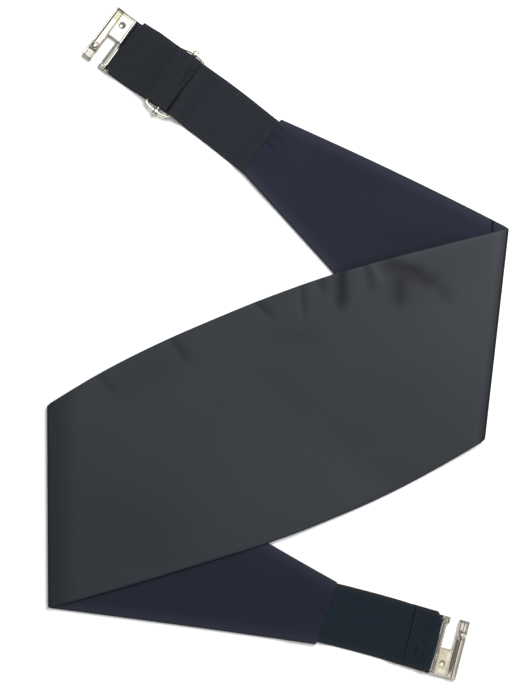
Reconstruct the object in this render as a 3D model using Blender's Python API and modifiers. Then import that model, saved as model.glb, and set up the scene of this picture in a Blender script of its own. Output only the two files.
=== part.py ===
"""Cummerbund with elastic back straps, lying flat with both ends folded under its front.

The strip of cloth is a satin front on a lining. It lies satin side up between two
folds. Past each fold the wing runs back under the front, lining side up, and narrows
to an elastic strap. Each strap loops round the inner bar of a stamped hook, and the
upper strap passes through a wire slider that sets its length.

All sizes below are millimetres. X runs along the longest fold-to-fold side, Y from the
lower hook to the upper one, and the surface that the garment lies on is z = 0.
"""

import math
from collections import namedtuple

import bmesh
import bpy
import numpy as np
from mathutils import Matrix, Vector

MM = 0.001
OBJECT_NAME = "cummerbund"

# Cloth ------------------------------------------------------------------------------
SATIN_THICKNESS = 1.0
LINING_THICKNESS = 1.0
ELASTIC_THICKNESS = 1.0
SEAM_GAP = 0.3
LAYER = LINING_THICKNESS + SEAM_GAP
# Mid-surface of the two walls where the strip lies on the surface.
FLAT_HEIGHT = SATIN_THICKNESS + SEAM_GAP / 2
# How far a wing lifts the front that lies over it.
WING_LIFT = SATIN_THICKNESS + LINING_THICKNESS + 2 * SEAM_GAP

# The folds' outermost lines, as the ends of each.
Fold = namedtuple("Fold", "top bottom")
LEFT_FOLD = Fold(top=(-138.6, -36.9), bottom=(-138.0, -158.7))
RIGHT_FOLD = Fold(top=(138.6, 69.3), bottom=(124.2, -57.9))
FOLD_RADIUS = 2.0
FOLD_REACH = FOLD_RADIUS + FLAT_HEIGHT
FOLD_STEPS = 8
# The cloth stands up a little just inside a fold and settles within this length.
FOLD_RISE = 2 * FOLD_RADIUS - WING_LIFT
FOLD_SETTLE = 10.0

# The front between its folds. "along" is the share of the way from left to right, and
# the bows are how far its long edges stand out from straight lines between the folds.
FrontSection = namedtuple("FrontSection", "along top_bow bottom_bow")
FRONT_SECTIONS = (
    FrontSection(0.000, 0.0, 0.0),
    FrontSection(0.125, 6.7, 3.5),
    FrontSection(0.250, 10.6, 6.4),
    FrontSection(0.375, 12.4, 8.9),
    FrontSection(0.500, 13.1, 11.0),
    FrontSection(0.625, 12.0, 11.4),
    FrontSection(0.750, 8.9, 9.9),
    FrontSection(0.875, 4.6, 6.0),
    FrontSection(1.000, 0.0, 0.0),
)
FRONT_RUNGS = 32

# The wings. The end is where the strap comes out, and the bows are those of the edges.
Wing = namedtuple("Wing", "fold end_top end_bottom top_bow bottom_bow")
LEFT_WING = Wing(LEFT_FOLD, (35.6, -143.3), (22.6, -180.6), -2.0, -0.4)
RIGHT_WING = Wing(RIGHT_FOLD, (2.0, 134.6), (-21.4, 102.6), 1.2, 0.0)
WING_RUNGS = 12
# The walls open round the end of the strap, over these lengths from the wing's end.
POCKET_LENGTH = 13.0
POCKET_TAPER = 15.0
POCKET_RUNGS = 6
RUNG_CELLS = 12

# The front comes down from a wing that it lies over, past the wing's hidden edge.
DESCENT_START = 9.0
DESCENT_LENGTH = 26.0

# Elastic straps ---------------------------------------------------------------------
STRAP_AT_SLIDER = 18.4
STRAP_SQUEEZE = 16.0
STRAP_TUCK = 11.0
STRAP_CELLS = 4
# Middle of the elastic's thickness where it lies on the surface, on one layer of
# elastic, and inside the wing's end.
ON_SURFACE = ELASTIC_THICKNESS / 2
ON_ELASTIC = ON_SURFACE + ELASTIC_THICKNESS + SEAM_GAP
IN_POCKET = SATIN_THICKNESS + SEAM_GAP + ELASTIC_THICKNESS / 2
STEP_DOWN = 9.0

# Where each strap leaves its wing and where its hook's bar lies, with the headings there
# in degrees. The strap lies aside of the hook's middle and bows between its ends: both
# are to the left of its heading.
Strap = namedtuple("Strap", "start start_angle bar bar_angle aside bow half_width slider_at")
UPPER_STRAP = Strap((-10.8, 118.2), 140.5, (-92.5, 176.9), 143.0, -1.3, -0.6, 19.0, 63.3)
LOWER_STRAP = Strap((29.6, -161.5), -15.4, (93.3, -180.1), -14.4, 0.9, 0.5, 18.6, None)
LOWER_TAIL = 18.0
SLIDER_TAIL = 15.5

# Slider: a wire ring with a bar across it -------------------------------------------
SLIDER_WIRE_RADIUS = 0.8
SLIDER_RAIL = 8.2
SLIDER_SIDE = 20.9
SLIDER_ASIDE = 0.3
SLIDER_SHOULDER = 19.8
SLIDER_CORNER = 1.4
SLIDER_POINTS = 7
CRIMP_RADIUS = 1.8
CRIMP_LENGTH = 2.6
CRIMP_CLEARANCE = 0.3
WRAP_RADIUS = SLIDER_WIRE_RADIUS + SEAM_GAP + ELASTIC_THICKNESS / 2
SLIDER_HEIGHT = ON_ELASTIC + WRAP_RADIUS
# The elastic is level for this far beside a rail, and the strap's end loops round the bar
# with this much slack. The foot is the bend where it meets the surface again.
RAIL_LANDING = 0.6
LOOP_SLACK = 3.6
FOOT_RADIUS = 1.6

# Hooks: +X points away from the strap, and the bar in the strap's loop is at X = 0 ---
HOOK_HALF_WIDTH = 18.0
HOOK_BAR_RADIUS = 0.6
HOOK_LOOP_RADIUS = HOOK_BAR_RADIUS + SEAM_GAP + ELASTIC_THICKNESS / 2
HOOK_HEIGHT = ON_SURFACE + HOOK_LOOP_RADIUS
HOOK_SHEET = 0.8
HOOK_ARM_WIDTH = 1.5
HOOK_ARM_BACK = 0.8
HOOK_FRAME_FRONT = 2.2
HOOK_FRAME_WIDTH = 2.2
HOOK_FRAME_HALF_THICKNESS = 0.6
HOOK_BLADE_START = 11.9
HOOK_BLADE_END = 17.9
HOOK_PLATE_EDGE = -0.9
HOOK_STUB_REACH = 6.2
HOOK_STUB_START = 13.9
HOOK_LOOP_CLEARANCE = 0.5
HOOK_SHOULDER_START = 1.4
HOOK_SHOULDER_LENGTH = 3.2
HOOK_END_INSET = 0.12
HOOK_LIP = 0.8
INNER_LIP_TOP = 0.62
LIP_WIDTH = 1.4
LIP_TOP = 0.85
CHANNEL_FLOOR = -1.2
CELL_WALL_AT = 10.8
CELL_WALL_WIDTH = 0.7
BUMP = {"at": (14.8, 9.0), "radius": 1.7, "base": -0.6, "top": 0.55}
DIMPLE = {"at": (8.3, -10.0), "radius": 2.1, "base": 0.1, "top": 1.1}
# Points closer than this are one point.
WELD = 0.002

# Finishes: colour, roughness, metallic ----------------------------------------------
Finish = namedtuple("Finish", "colour roughness metallic")
SATIN = Finish((0.045, 0.051, 0.061), 0.45, 0.0)
LINING = Finish((0.022, 0.024, 0.036), 0.80, 0.0)
ELASTIC = Finish((0.019, 0.021, 0.026), 0.85, 0.0)
NICKEL = Finish((0.80, 0.76, 0.66), 0.28, 1.0)


# ------------------------------------------------------------------------------------
# Numbers along lines
# ------------------------------------------------------------------------------------
def ease(share):
    """A soft step from 0 to 1 as share goes from 0 to 1."""
    share = min(1.0, max(0.0, share))
    return share * share * (3.0 - 2.0 * share)


def along_table(rows, column, at):
    """The value of a column at a share of the way, on a smooth curve through the rows."""
    places = [row.along for row in rows]
    values = [getattr(row, column) for row in rows]
    last = len(rows) - 1
    left = min(last - 1, max(0, sum(at >= place for place in places) - 1))
    share = (at - places[left]) / (places[left + 1] - places[left])
    before, after = max(0, left - 1), min(last, left + 2)
    slope_left = (values[left + 1] - values[before]) / (left + 1 - before)
    slope_right = (values[after] - values[left]) / (after - left)
    rise = values[left + 1] - values[left]
    bend = share * (1.0 - share)
    leaving = slope_left - rise
    arriving = rise - slope_right
    return values[left] + share * rise + bend * ((1.0 - share) * leaving + share * arriving)


def bowed_edge(start, end, share, bow):
    """A point at a share of the way from start to end, set off to the left by bow."""
    start, end = Vector(start), Vector(end)
    direction = (end - start).normalized()
    return start + (end - start) * share + Vector((-direction.y, direction.x)) * bow


def single_bow(share, bow):
    """The bow of a plain arched edge at a share of its length."""
    return 4.0 * bow * share * (1.0 - share)


# ------------------------------------------------------------------------------------
# The strip of cloth: rungs from its lower edge to its upper one
# ------------------------------------------------------------------------------------
def fold_distance(fold, point):
    """How far a point lies inside a fold's outermost line."""
    top, bottom = Vector(fold.top), Vector(fold.bottom)
    direction = (top - bottom).normalized()
    offset = Vector(point) - bottom
    return abs(direction.x * offset.y - direction.y * offset.x)


def past_bend(fold, end):
    """The share of the way from a fold to a far point at which the fold's bend ends."""
    return FOLD_REACH / fold_distance(fold, end)


def front_edges(share):
    """The lower and upper edge points of the front at a share of the way between the
    bends of its folds."""
    points = []
    for side, column, outward in (("bottom", "bottom_bow", -1.0), ("top", "top_bow", 1.0)):
        start, end = getattr(LEFT_FOLD, side), getattr(RIGHT_FOLD, side)
        first, last = past_bend(LEFT_FOLD, end), 1.0 - past_bend(RIGHT_FOLD, start)
        along = first + (last - first) * share
        bow = outward * along_table(FRONT_SECTIONS, column, along)
        points.append(bowed_edge(start, end, along, bow))
    return points


def wing_edges(wing, share):
    """The lower and upper edge points of a wing at a share of the way from the bend of
    its fold to its end."""
    turned = -1.0 if wing.end_top[0] < wing.fold.top[0] else 1.0
    edges = (
        (wing.fold.bottom, wing.end_bottom, -turned * wing.bottom_bow),
        (wing.fold.top, wing.end_top, turned * wing.top_bow),
    )
    points = []
    for start, end, bow in edges:
        first = past_bend(wing.fold, end)
        along = first + (1.0 - first) * share
        points.append(bowed_edge(start, end, along, single_bow(along, bow)))
    return points


def outside_wing(wing, point):
    """How far a point lies past the edge of the wing that the front hides."""
    if wing is LEFT_WING:
        start, end = Vector(wing.fold.top), Vector(wing.end_top)
    else:
        start, end = Vector(wing.end_bottom), Vector(wing.fold.bottom)
    direction = (end - start).normalized()
    offset = point - start
    side = direction.x * offset.y - direction.y * offset.x
    return side if wing is LEFT_WING else -side


def front_lift(point):
    """How far the wings lift the front at a point."""
    past = min(outside_wing(LEFT_WING, point), outside_wing(RIGHT_WING, point))
    return WING_LIFT * (1.0 - ease((past - DESCENT_START) / DESCENT_LENGTH))


def front_height(point):
    """Height of the front's mid-surface at a point."""
    height = FLAT_HEIGHT + front_lift(point)
    for fold in (LEFT_FOLD, RIGHT_FOLD):
        settled = (fold_distance(fold, point) - FOLD_REACH) / FOLD_SETTLE
        height += FOLD_RISE * (1.0 - ease(settled))
    return height


def rung(bottom, top, height):
    """Points across the strip from its lower to its upper edge, at height(point)."""
    points = []
    for cell in range(RUNG_CELLS + 1):
        place = bottom.lerp(top, cell / RUNG_CELLS)
        points.append((place.x, place.y, height(place)))
    return points


def front_rungs():
    """Rungs of the front, from just inside the left fold to just inside the right one."""
    edges = [front_edges(step / FRONT_RUNGS) for step in range(FRONT_RUNGS + 1)]
    return [rung(bottom, top, front_height) for bottom, top in edges]


def wing_length(wing):
    """Length of a wing along the middle of its strip, from the bend of its fold."""
    start, end = (bottom.lerp(top, 0.5) for bottom, top in (wing_edges(wing, s) for s in (0, 1)))
    return (end - start).length


def wing_shares(wing):
    """Shares of a wing's length for its rungs, closer together near the pocket."""
    pocket = 1.0 - (POCKET_LENGTH + POCKET_TAPER) / wing_length(wing)
    plain = [pocket * step / WING_RUNGS for step in range(WING_RUNGS)]
    step_length = (1.0 - pocket) / POCKET_RUNGS
    return plain + [pocket + step_length * step for step in range(POCKET_RUNGS + 1)]


def wing_rungs(wing):
    """Rungs of a wing, from its fold to its strap."""
    edges = [wing_edges(wing, share) for share in wing_shares(wing)]
    return [rung(bottom, top, lambda place: FLAT_HEIGHT) for bottom, top in edges]


def fold_rungs(fold, front_rung, wing_rung):
    """Rungs round a fold, between the front's last rung and the wing's first."""
    top, bottom = Vector(fold.top), Vector(fold.bottom)
    direction = (top - bottom).normalized()
    outward = Vector((direction.y, -direction.x))
    if outward.dot(-bottom) > 0:
        outward = -outward
    front_ends = [(Vector(front_rung[end][:2]) - bottom).dot(direction) for end in (0, -1)]
    wing_ends = [(Vector(wing_rung[end][:2]) - bottom).dot(direction) for end in (0, -1)]
    rungs = []
    for step in range(1, FOLD_STEPS):
        share = step / FOLD_STEPS
        turn = math.pi * share
        reach = FOLD_RADIUS * math.sin(turn) - FOLD_REACH
        height = FLAT_HEIGHT + FOLD_RADIUS * (1.0 + math.cos(turn))
        ends = [a + (b - a) * share for a, b in zip(front_ends, wing_ends)]
        first, last = (bottom + direction * end + outward * reach for end in ends)
        rungs.append(rung(first, last, lambda place, height=height: height))
    return rungs


def strip_rungs():
    """All rungs of the strip, from the left wing's end to the right wing's end, and how
    far each opens for a strap."""
    front = front_rungs()
    left, right = wing_rungs(LEFT_WING), wing_rungs(RIGHT_WING)
    left_fold = fold_rungs(LEFT_FOLD, front[0], left[0])
    right_fold = fold_rungs(RIGHT_FOLD, front[-1], right[0])
    rungs = left[::-1] + left_fold[::-1] + front + right_fold + right

    middle = [0.0] * (len(left_fold) + len(front) + len(right_fold))
    return rungs, openings(LEFT_WING)[::-1] + middle + openings(RIGHT_WING)


def openings(wing):
    """How far the lining stands off the satin at a wing's rungs, for the strap in its end."""
    from_end = [(1.0 - share) * wing_length(wing) for share in wing_shares(wing)]
    return [LAYER * (1.0 - ease((gap - POCKET_LENGTH) / POCKET_TAPER)) for gap in from_end]


def grid_normals(grid):
    """Unit normals of a grid of points, from its neighbours along and across it."""
    along = np.gradient(grid, axis=0)
    across = np.gradient(grid, axis=1)
    normals = np.cross(along, across)
    return normals / np.linalg.norm(normals, axis=2, keepdims=True)


# ------------------------------------------------------------------------------------
# Paths of the elastic, as (distance along the strap, height) pairs
# ------------------------------------------------------------------------------------
def level(start, end, height, steps=1):
    """A level stretch, without its first point."""
    return [(start + (end - start) * step / steps, height) for step in range(1, steps + 1)]


def slope(start, end, low, high, steps=6):
    """A soft rise or fall from low to high, without its first point."""
    shares = [step / steps for step in range(1, steps + 1)]
    return [(start + (end - start) * share, low + (high - low) * ease(share)) for share in shares]


def turn(centre, radius, start, end, steps):
    """An arc about centre from one angle to another, in degrees."""
    angles = [math.radians(start + (end - start) * step / steps) for step in range(steps + 1)]
    return [(centre[0] + radius * math.cos(a), centre[1] + radius * math.sin(a)) for a in angles]


def pocket_path():
    """The strap from inside the wing's end down to the surface."""
    return [(-STRAP_TUCK, IN_POCKET)] + level(-STRAP_TUCK, 1.0, IN_POCKET) + slope(
        1.0, STEP_DOWN, IN_POCKET, ON_SURFACE
    )


def lower_path(bar):
    """The lower strap: out of the wing, over its own tail, round the bar and back."""
    tail_end = bar - LOWER_TAIL
    over = HOOK_HEIGHT + HOOK_LOOP_RADIUS
    path = pocket_path()
    path += level(STEP_DOWN, tail_end - 10.0, ON_SURFACE, 3)
    path += slope(tail_end - 10.0, tail_end - 1.0, ON_SURFACE, ON_ELASTIC)
    path += level(tail_end - 1.0, bar - 8.0, ON_ELASTIC, 2)
    path += slope(bar - 8.0, bar - 1.0, ON_ELASTIC, over)
    path += turn((bar, HOOK_HEIGHT), HOOK_LOOP_RADIUS, 90.0, -90.0, 10)
    path += level(bar, tail_end, ON_SURFACE, 5)
    return path


def upper_path(bar):
    """The upper strap: out of the wing, over the slider's near rail and under its bar,
    round the hook's bar, back over the slider's far rail and loosely round its bar."""
    middle = UPPER_STRAP.slider_at
    near_rail = (middle - SLIDER_RAIL, SLIDER_HEIGHT)
    far_rail = middle + SLIDER_RAIL + RAIL_LANDING
    foot = (near_rail[0] + WRAP_RADIUS + FOOT_RADIUS, ON_SURFACE + FOOT_RADIUS)
    loop_end = (middle - LOOP_SLACK, SLIDER_HEIGHT)
    over = SLIDER_HEIGHT + WRAP_RADIUS
    tail_end = middle + SLIDER_TAIL
    loop_top = HOOK_HEIGHT + HOOK_LOOP_RADIUS
    on_tail = ON_ELASTIC + LAYER
    path = pocket_path()
    path += level(STEP_DOWN, near_rail[0] - 12.5, ON_SURFACE, 3)
    path += slope(near_rail[0] - 12.5, near_rail[0] - RAIL_LANDING, ON_SURFACE, over, 8)
    path += turn(near_rail, WRAP_RADIUS, 90.0, 0.0, 5)
    path += turn(foot, FOOT_RADIUS, 180.0, 270.0, 5)
    path += level(foot[0], bar, ON_SURFACE, 5)[:-1]
    path += turn((bar, HOOK_HEIGHT), HOOK_LOOP_RADIUS, -90.0, 90.0, 10)
    path += slope(bar - 1.0, bar - 8.0, loop_top, ON_ELASTIC)
    path += level(bar - 8.0, tail_end + 7.0, ON_ELASTIC, 2)
    path += slope(tail_end + 7.0, tail_end - 0.8, ON_ELASTIC, on_tail, 4)
    path += slope(tail_end - 0.8, far_rail, on_tail, over, 5)
    path += level(far_rail, loop_end[0], over, 3)[:-1]
    path += turn(loop_end, WRAP_RADIUS, 90.0, 270.0, 10)
    path += level(loop_end[0], tail_end, ON_ELASTIC, 4)
    return path


def heading_of(angle):
    """The unit vector at an angle in degrees."""
    return Vector((math.cos(math.radians(angle)), math.sin(math.radians(angle))))


def strap_end(strap):
    """Where the strap's centreline crosses the line of the hook's bar."""
    heading = heading_of(strap.bar_angle)
    return Vector(strap.bar) + Vector((-heading.y, heading.x)) * strap.aside


def strap_length(strap):
    """Distance from the wing's end to the line of the hook's bar."""
    return (strap_end(strap) - Vector(strap.start)).length


def strap_frame(strap, distance):
    """The point on a strap's centreline and the direction across it, to its left."""
    length = strap_length(strap)
    start, end = Vector(strap.start), strap_end(strap)
    leave = heading_of(strap.start_angle) * length
    arrive = heading_of(strap.bar_angle) * length
    chord = (end - start) / length
    aside = Vector((-chord.y, chord.x)) * strap.bow
    share = distance / length
    if share <= 0.0:
        place, heading = start + leave * share, leave
    elif share >= 1.0:
        place, heading = end + arrive * (share - 1.0), arrive
    else:
        rest = 1.0 - share
        place = start * (1.0 + 2.0 * share) * rest**2 + end * share**2 * (3.0 - 2.0 * share)
        place += leave * share * rest**2 - arrive * share**2 * rest
        place += aside * 16.0 * share**2 * rest**2
        heading = (end - start) * 6.0 * share * rest
        heading += leave * rest * (1.0 - 3.0 * share) + arrive * share * (3.0 * share - 2.0)
        heading += aside * 32.0 * share * rest * (rest - share)
    heading.normalize()
    return place, Vector((-heading.y, heading.x))


def strap_sides(strap, distance):
    """How far the strap reaches to the left and right of its centreline. The slider
    squeezes it a little, and the hook's arms draw it in."""
    half = strap.half_width
    if strap.slider_at is not None:
        away = abs(distance - strap.slider_at) - SLIDER_RAIL
        half = STRAP_AT_SLIDER + (half - STRAP_AT_SLIDER) * ease(away / STRAP_SQUEEZE)
    drawn_in = HOOK_HALF_WIDTH - HOOK_ARM_WIDTH - HOOK_LOOP_CLEARANCE
    from_bar = strap_length(strap) - distance
    share = math.sqrt(ease((from_bar - HOOK_SHOULDER_START) / HOOK_SHOULDER_LENGTH))
    return [
        inner + (half - inner) * share
        for inner in (drawn_in - strap.aside, drawn_in + strap.aside)
    ]


def strap_grid(strap, path):
    """Points of a strap's middle surface, along its path and across its width."""
    grid = []
    for distance, height in path:
        place, across = strap_frame(strap, distance)
        left, right = strap_sides(strap, distance)
        row = []
        for cell in range(STRAP_CELLS + 1):
            point = place + across * (left - (left + right) * cell / STRAP_CELLS)
            row.append((point.x, point.y, height))
        grid.append(row)
    return grid


# ------------------------------------------------------------------------------------
# Objects
# ------------------------------------------------------------------------------------
def make_material(name, finish):
    """A Principled material with a finish's colour, roughness and metallic value."""
    material = bpy.data.materials.new(name)
    material.use_nodes = True
    shader = material.node_tree.nodes["Principled BSDF"]
    shader.inputs["Base Color"].default_value = (*finish.colour, 1.0)
    shader.inputs["Roughness"].default_value = finish.roughness
    shader.inputs["Metallic"].default_value = finish.metallic
    material.diffuse_color = (*finish.colour, 1.0)
    return material


def make_object(name, mesh, finish, collection):
    """An object of a mesh with its own material, in the garment's collection."""
    made = bpy.data.objects.new(name, mesh)
    mesh.materials.clear()
    mesh.materials.append(make_material(name + "_finish", finish))
    collection.objects.link(made)
    return made


def surface_mesh(name, grid):
    """An open mesh through a grid of points, facing the side that along x across gives."""
    shape = bmesh.new()
    rows = [[shape.verts.new(Vector(point) * MM) for point in row] for row in grid]
    for near, far in zip(rows, rows[1:]):
        for a, b, c, d in zip(near, far, far[1:], near[1:]):
            shape.faces.new((a, b, c, d))
    mesh = bpy.data.meshes.new(name)
    shape.to_mesh(mesh)
    shape.free()
    return mesh


def thicken(made, thickness, side):
    """Gives an open surface its wall: side 1 is outwards, -1 inwards and 0 both ways."""
    solidify = made.modifiers.new("wall", "SOLIDIFY")
    solidify.thickness = thickness * MM
    solidify.offset = side


def cloth_walls(collection):
    """The satin front and the lining, each on its side of the strip's mid-surface."""
    rungs, stand_offs = strip_rungs()
    grid = np.array(rungs)
    normals = grid_normals(grid)
    half_gap = SEAM_GAP / 2
    satin = surface_mesh("satin_front", grid + normals * half_gap)
    stand_off = np.array(stand_offs)[:, None, None] + half_gap
    lining = surface_mesh("lining_back", grid - normals * stand_off)
    front = make_object("satin_front", satin, SATIN, collection)
    thicken(front, SATIN_THICKNESS, 1.0)
    back = make_object("lining_back", lining, LINING, collection)
    thicken(back, LINING_THICKNESS, -1.0)
    return [front, back]


def elastic_strap(name, strap, path, collection):
    """One elastic strap along its path."""
    mesh = surface_mesh(name, strap_grid(strap, path))
    made = make_object(name, mesh, ELASTIC, collection)
    thicken(made, ELASTIC_THICKNESS, 0.0)
    return made


def box_shape(low, high, bevel=0.0):
    """A box between two corners, with its edges broken by bevel."""
    shape = bmesh.new()
    size = Vector(high) - Vector(low)
    middle = (Vector(high) + Vector(low)) / 2
    matrix = Matrix.Translation(middle) @ Matrix.Diagonal((*size, 1.0))
    bmesh.ops.create_cube(shape, size=1.0, matrix=matrix)
    if bevel:
        bmesh.ops.bevel(shape, geom=shape.edges, offset=bevel, segments=1, affect="EDGES")
    return shape


def rod_shape(start, end, radius, sides):
    """A round rod between two points."""
    shape = bmesh.new()
    start, end = Vector(start), Vector(end)
    turned = (end - start).to_track_quat("Z", "Y").to_matrix().to_4x4()
    matrix = Matrix.Translation((start + end) / 2) @ turned
    bmesh.ops.create_cone(
        shape,
        cap_ends=True,
        segments=sides,
        radius1=radius,
        radius2=radius,
        depth=(end - start).length,
        matrix=matrix,
    )
    return shape


def dome_shape(at, radius, base, top):
    """A round boss that stands from base up to top."""
    shape = bmesh.new()
    matrix = Matrix.Translation((*at, base)) @ Matrix.Diagonal((radius, radius, top - base, 1.0))
    bmesh.ops.create_uvsphere(shape, u_segments=12, v_segments=6, radius=1.0, matrix=matrix)
    return shape


def prism_shape(outline, push):
    """A closed outline of points pushed straight along a vector."""
    shape = bmesh.new()
    face = shape.faces.new([shape.verts.new(point) for point in outline])
    pushed = bmesh.ops.extrude_face_region(shape, geom=[face])["geom"]
    moved = [item for item in pushed if isinstance(item, bmesh.types.BMVert)]
    bmesh.ops.translate(shape, verts=moved, vec=push)
    bmesh.ops.recalc_face_normals(shape, faces=shape.faces)
    return shape


def as_object(name, shape):
    """A plain object of a shape, in the shape's own units."""
    mesh = bpy.data.meshes.new(name)
    shape.to_mesh(mesh)
    shape.free()
    made = bpy.data.objects.new(name, mesh)
    bpy.context.scene.collection.objects.link(made)
    return made


def evaluated_mesh(name, made, scale):
    """The mesh that an object's modifiers give, welded and scaled, after which the
    object goes."""
    graph = bpy.context.evaluated_depsgraph_get()
    mesh = bpy.data.meshes.new_from_object(made.evaluated_get(graph))
    mesh.name = name
    bpy.data.objects.remove(made)
    shape = bmesh.new()
    shape.from_mesh(mesh)
    bmesh.ops.remove_doubles(shape, verts=shape.verts, dist=WELD / scale * MM)
    bmesh.ops.scale(shape, vec=(scale, scale, scale), verts=shape.verts)
    shape.to_mesh(mesh)
    shape.free()
    return mesh


def joined_mesh(name, shapes, cuts=()):
    """One closed mesh: the union of shapes, less the cuts."""
    base, *others = [as_object(name, shape) for shape in shapes]
    tools = [(other, "UNION") for other in others]
    tools += [(as_object(name, cut), "DIFFERENCE") for cut in cuts]
    for tool, operation in tools:
        boolean = base.modifiers.new("join", "BOOLEAN")
        boolean.operation = operation
        boolean.object = tool
    mesh = evaluated_mesh(name, base, MM)
    for tool, _ in tools:
        bpy.data.objects.remove(tool)
    return mesh


def hook_sheet():
    """The flat part of the hook: an open frame with a plate on one half and a stub."""
    half, inside = HOOK_HALF_WIDTH, HOOK_HALF_WIDTH - HOOK_ARM_WIDTH
    frame_end = HOOK_FRAME_FRONT + HOOK_FRAME_WIDTH
    outline = (
        (-HOOK_ARM_BACK, -half),
        (HOOK_BLADE_START + HOOK_LIP / 2, -half),
        (HOOK_BLADE_START + HOOK_LIP / 2, HOOK_PLATE_EDGE),
        (frame_end, HOOK_PLATE_EDGE),
        (frame_end, HOOK_STUB_START),
        (HOOK_STUB_REACH, HOOK_STUB_START),
        (HOOK_STUB_REACH, half),
        (-HOOK_ARM_BACK, half),
        (-HOOK_ARM_BACK, inside),
        (HOOK_FRAME_FRONT, inside),
        (HOOK_FRAME_FRONT, -inside),
        (-HOOK_ARM_BACK, -inside),
    )
    return prism_shape([(x, y, -HOOK_SHEET / 2) for x, y in outline], (0.0, 0.0, HOOK_SHEET))


def hook_blade():
    """The blade: a channel with a low inner lip and a rolled outer one."""
    start, end, floor = HOOK_BLADE_START, HOOK_BLADE_END, CHANNEL_FLOOR
    half = HOOK_HALF_WIDTH - HOOK_END_INSET
    round_off = LIP_WIDTH / 4
    section = (
        (start, floor),
        (end - round_off, floor),
        (end, floor + round_off),
        (end, LIP_TOP - round_off),
        (end - round_off, LIP_TOP),
        (end - LIP_WIDTH + round_off, LIP_TOP),
        (end - LIP_WIDTH, LIP_TOP - round_off),
        (end - LIP_WIDTH, floor + HOOK_SHEET),
        (start + HOOK_LIP, floor + HOOK_SHEET),
        (start + HOOK_LIP, INNER_LIP_TOP),
        (start, INNER_LIP_TOP),
    )
    return prism_shape([(x, -half, z) for x, z in section], (0.0, 2.0 * half, 0.0))


def channel_wall(near, far, top):
    """A low wall across the blade's channel."""
    low = (HOOK_BLADE_START + HOOK_LIP / 2, near, CHANNEL_FLOOR + HOOK_SHEET / 3)
    return box_shape(low, (HOOK_BLADE_END - LIP_WIDTH / 2, far, top))


def hook_mesh():
    """The stamped hook: a sheet, a channelled blade and their raised details."""
    half, frame = HOOK_HALF_WIDTH, HOOK_FRAME_HALF_THICKNESS
    rim = HOOK_FRAME_FRONT + HOOK_FRAME_WIDTH
    inset = HOOK_END_INSET
    end = half - 2.0 * inset
    shapes = [
        hook_sheet(),
        hook_blade(),
        box_shape(
            (HOOK_FRAME_FRONT + inset, -half + inset, -frame), (rim - inset, half - inset, frame), 0.3
        ),
        rod_shape((0.0, -end, 0.0), (0.0, end, 0.0), HOOK_BAR_RADIUS, 10),
        channel_wall(end - CELL_WALL_WIDTH, end, LIP_TOP / 2),
        channel_wall(CELL_WALL_AT, CELL_WALL_AT + CELL_WALL_WIDTH, LIP_TOP / 4),
        dome_shape(BUMP["at"], BUMP["radius"], BUMP["base"], BUMP["top"]),
        dome_shape(DIMPLE["at"], DIMPLE["radius"], DIMPLE["base"], DIMPLE["top"]),
    ]
    return joined_mesh("hook", shapes)


def slider_ring_path():
    """Points round the slider's ring: straight rails and softly bulging sides."""
    quarter = [(SLIDER_RAIL, 0.0)]
    corner_x, corner_y = SLIDER_RAIL - SLIDER_CORNER, SLIDER_SHOULDER - SLIDER_CORNER
    for step in range(4):
        angle = math.radians(70.0 * step / 3)
        quarter.append(
            (corner_x + SLIDER_CORNER * math.cos(angle), corner_y + SLIDER_CORNER * math.sin(angle))
        )
    last_x, last_y = quarter[-1]
    for step in range(1, SLIDER_POINTS):
        share = step / SLIDER_POINTS
        quarter.append(
            (last_x * (1.0 - share), last_y + (SLIDER_SIDE - last_y) * math.sin(math.pi / 2 * share))
        )
    quarter.append((0.0, SLIDER_SIDE))
    left = [(-x, y) for x, y in quarter[-2::-1]]
    upper = quarter + left
    lower = [(x, -y) for x, y in upper[-2:0:-1]]
    return upper + lower


def slider_ring(collection):
    """The slider's wire ring, a closed curve with a round section."""
    curve = bpy.data.curves.new("slider_ring", "CURVE")
    curve.dimensions = "3D"
    curve.bevel_depth = SLIDER_WIRE_RADIUS * MM
    curve.bevel_resolution = 2
    points = slider_ring_path()
    spline = curve.splines.new("POLY")
    spline.points.add(len(points) - 1)
    spline.use_cyclic_u = True
    for point, (x, y) in zip(spline.points, points):
        point.co = (x * MM, y * MM, 0.0, 1.0)
    made = bpy.data.objects.new("slider_ring", curve)
    bpy.context.scene.collection.objects.link(made)
    mesh = evaluated_mesh("slider_ring", made, 1.0)
    return make_object("slider_ring", mesh, NICKEL, collection)


def slider_bar(collection):
    """The slider's bar, with an end crimped round each side of the ring."""
    end = SLIDER_SIDE - CRIMP_RADIUS + 0.3
    shapes = [rod_shape((0.0, -end, 0.0), (0.0, end, 0.0), SLIDER_WIRE_RADIUS, 10)]
    cuts = []
    half = CRIMP_LENGTH / 2
    for side in (-SLIDER_SIDE, SLIDER_SIDE):
        shapes.append(rod_shape((-half, side, 0.0), (half, side, 0.0), CRIMP_RADIUS, 14))
        bore = SLIDER_WIRE_RADIUS + CRIMP_CLEARANCE
        cuts.append(rod_shape((-half - 1.0, side, 0.0), (half + 1.0, side, 0.0), bore, 14))
    return make_object("slider_bar", joined_mesh("slider_bar", shapes, cuts), NICKEL, collection)


def place(made, at, height, angle):
    """Puts a hard piece at its place along the strap, turned about Z."""
    made.location = (at[0] * MM, at[1] * MM, height * MM)
    made.rotation_euler = (0.0, 0.0, math.radians(angle))


def across_angle(across):
    """The turn about Z that brings local +Y to a direction across the strap."""
    return math.degrees(math.atan2(across.y, across.x)) - 90.0


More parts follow.
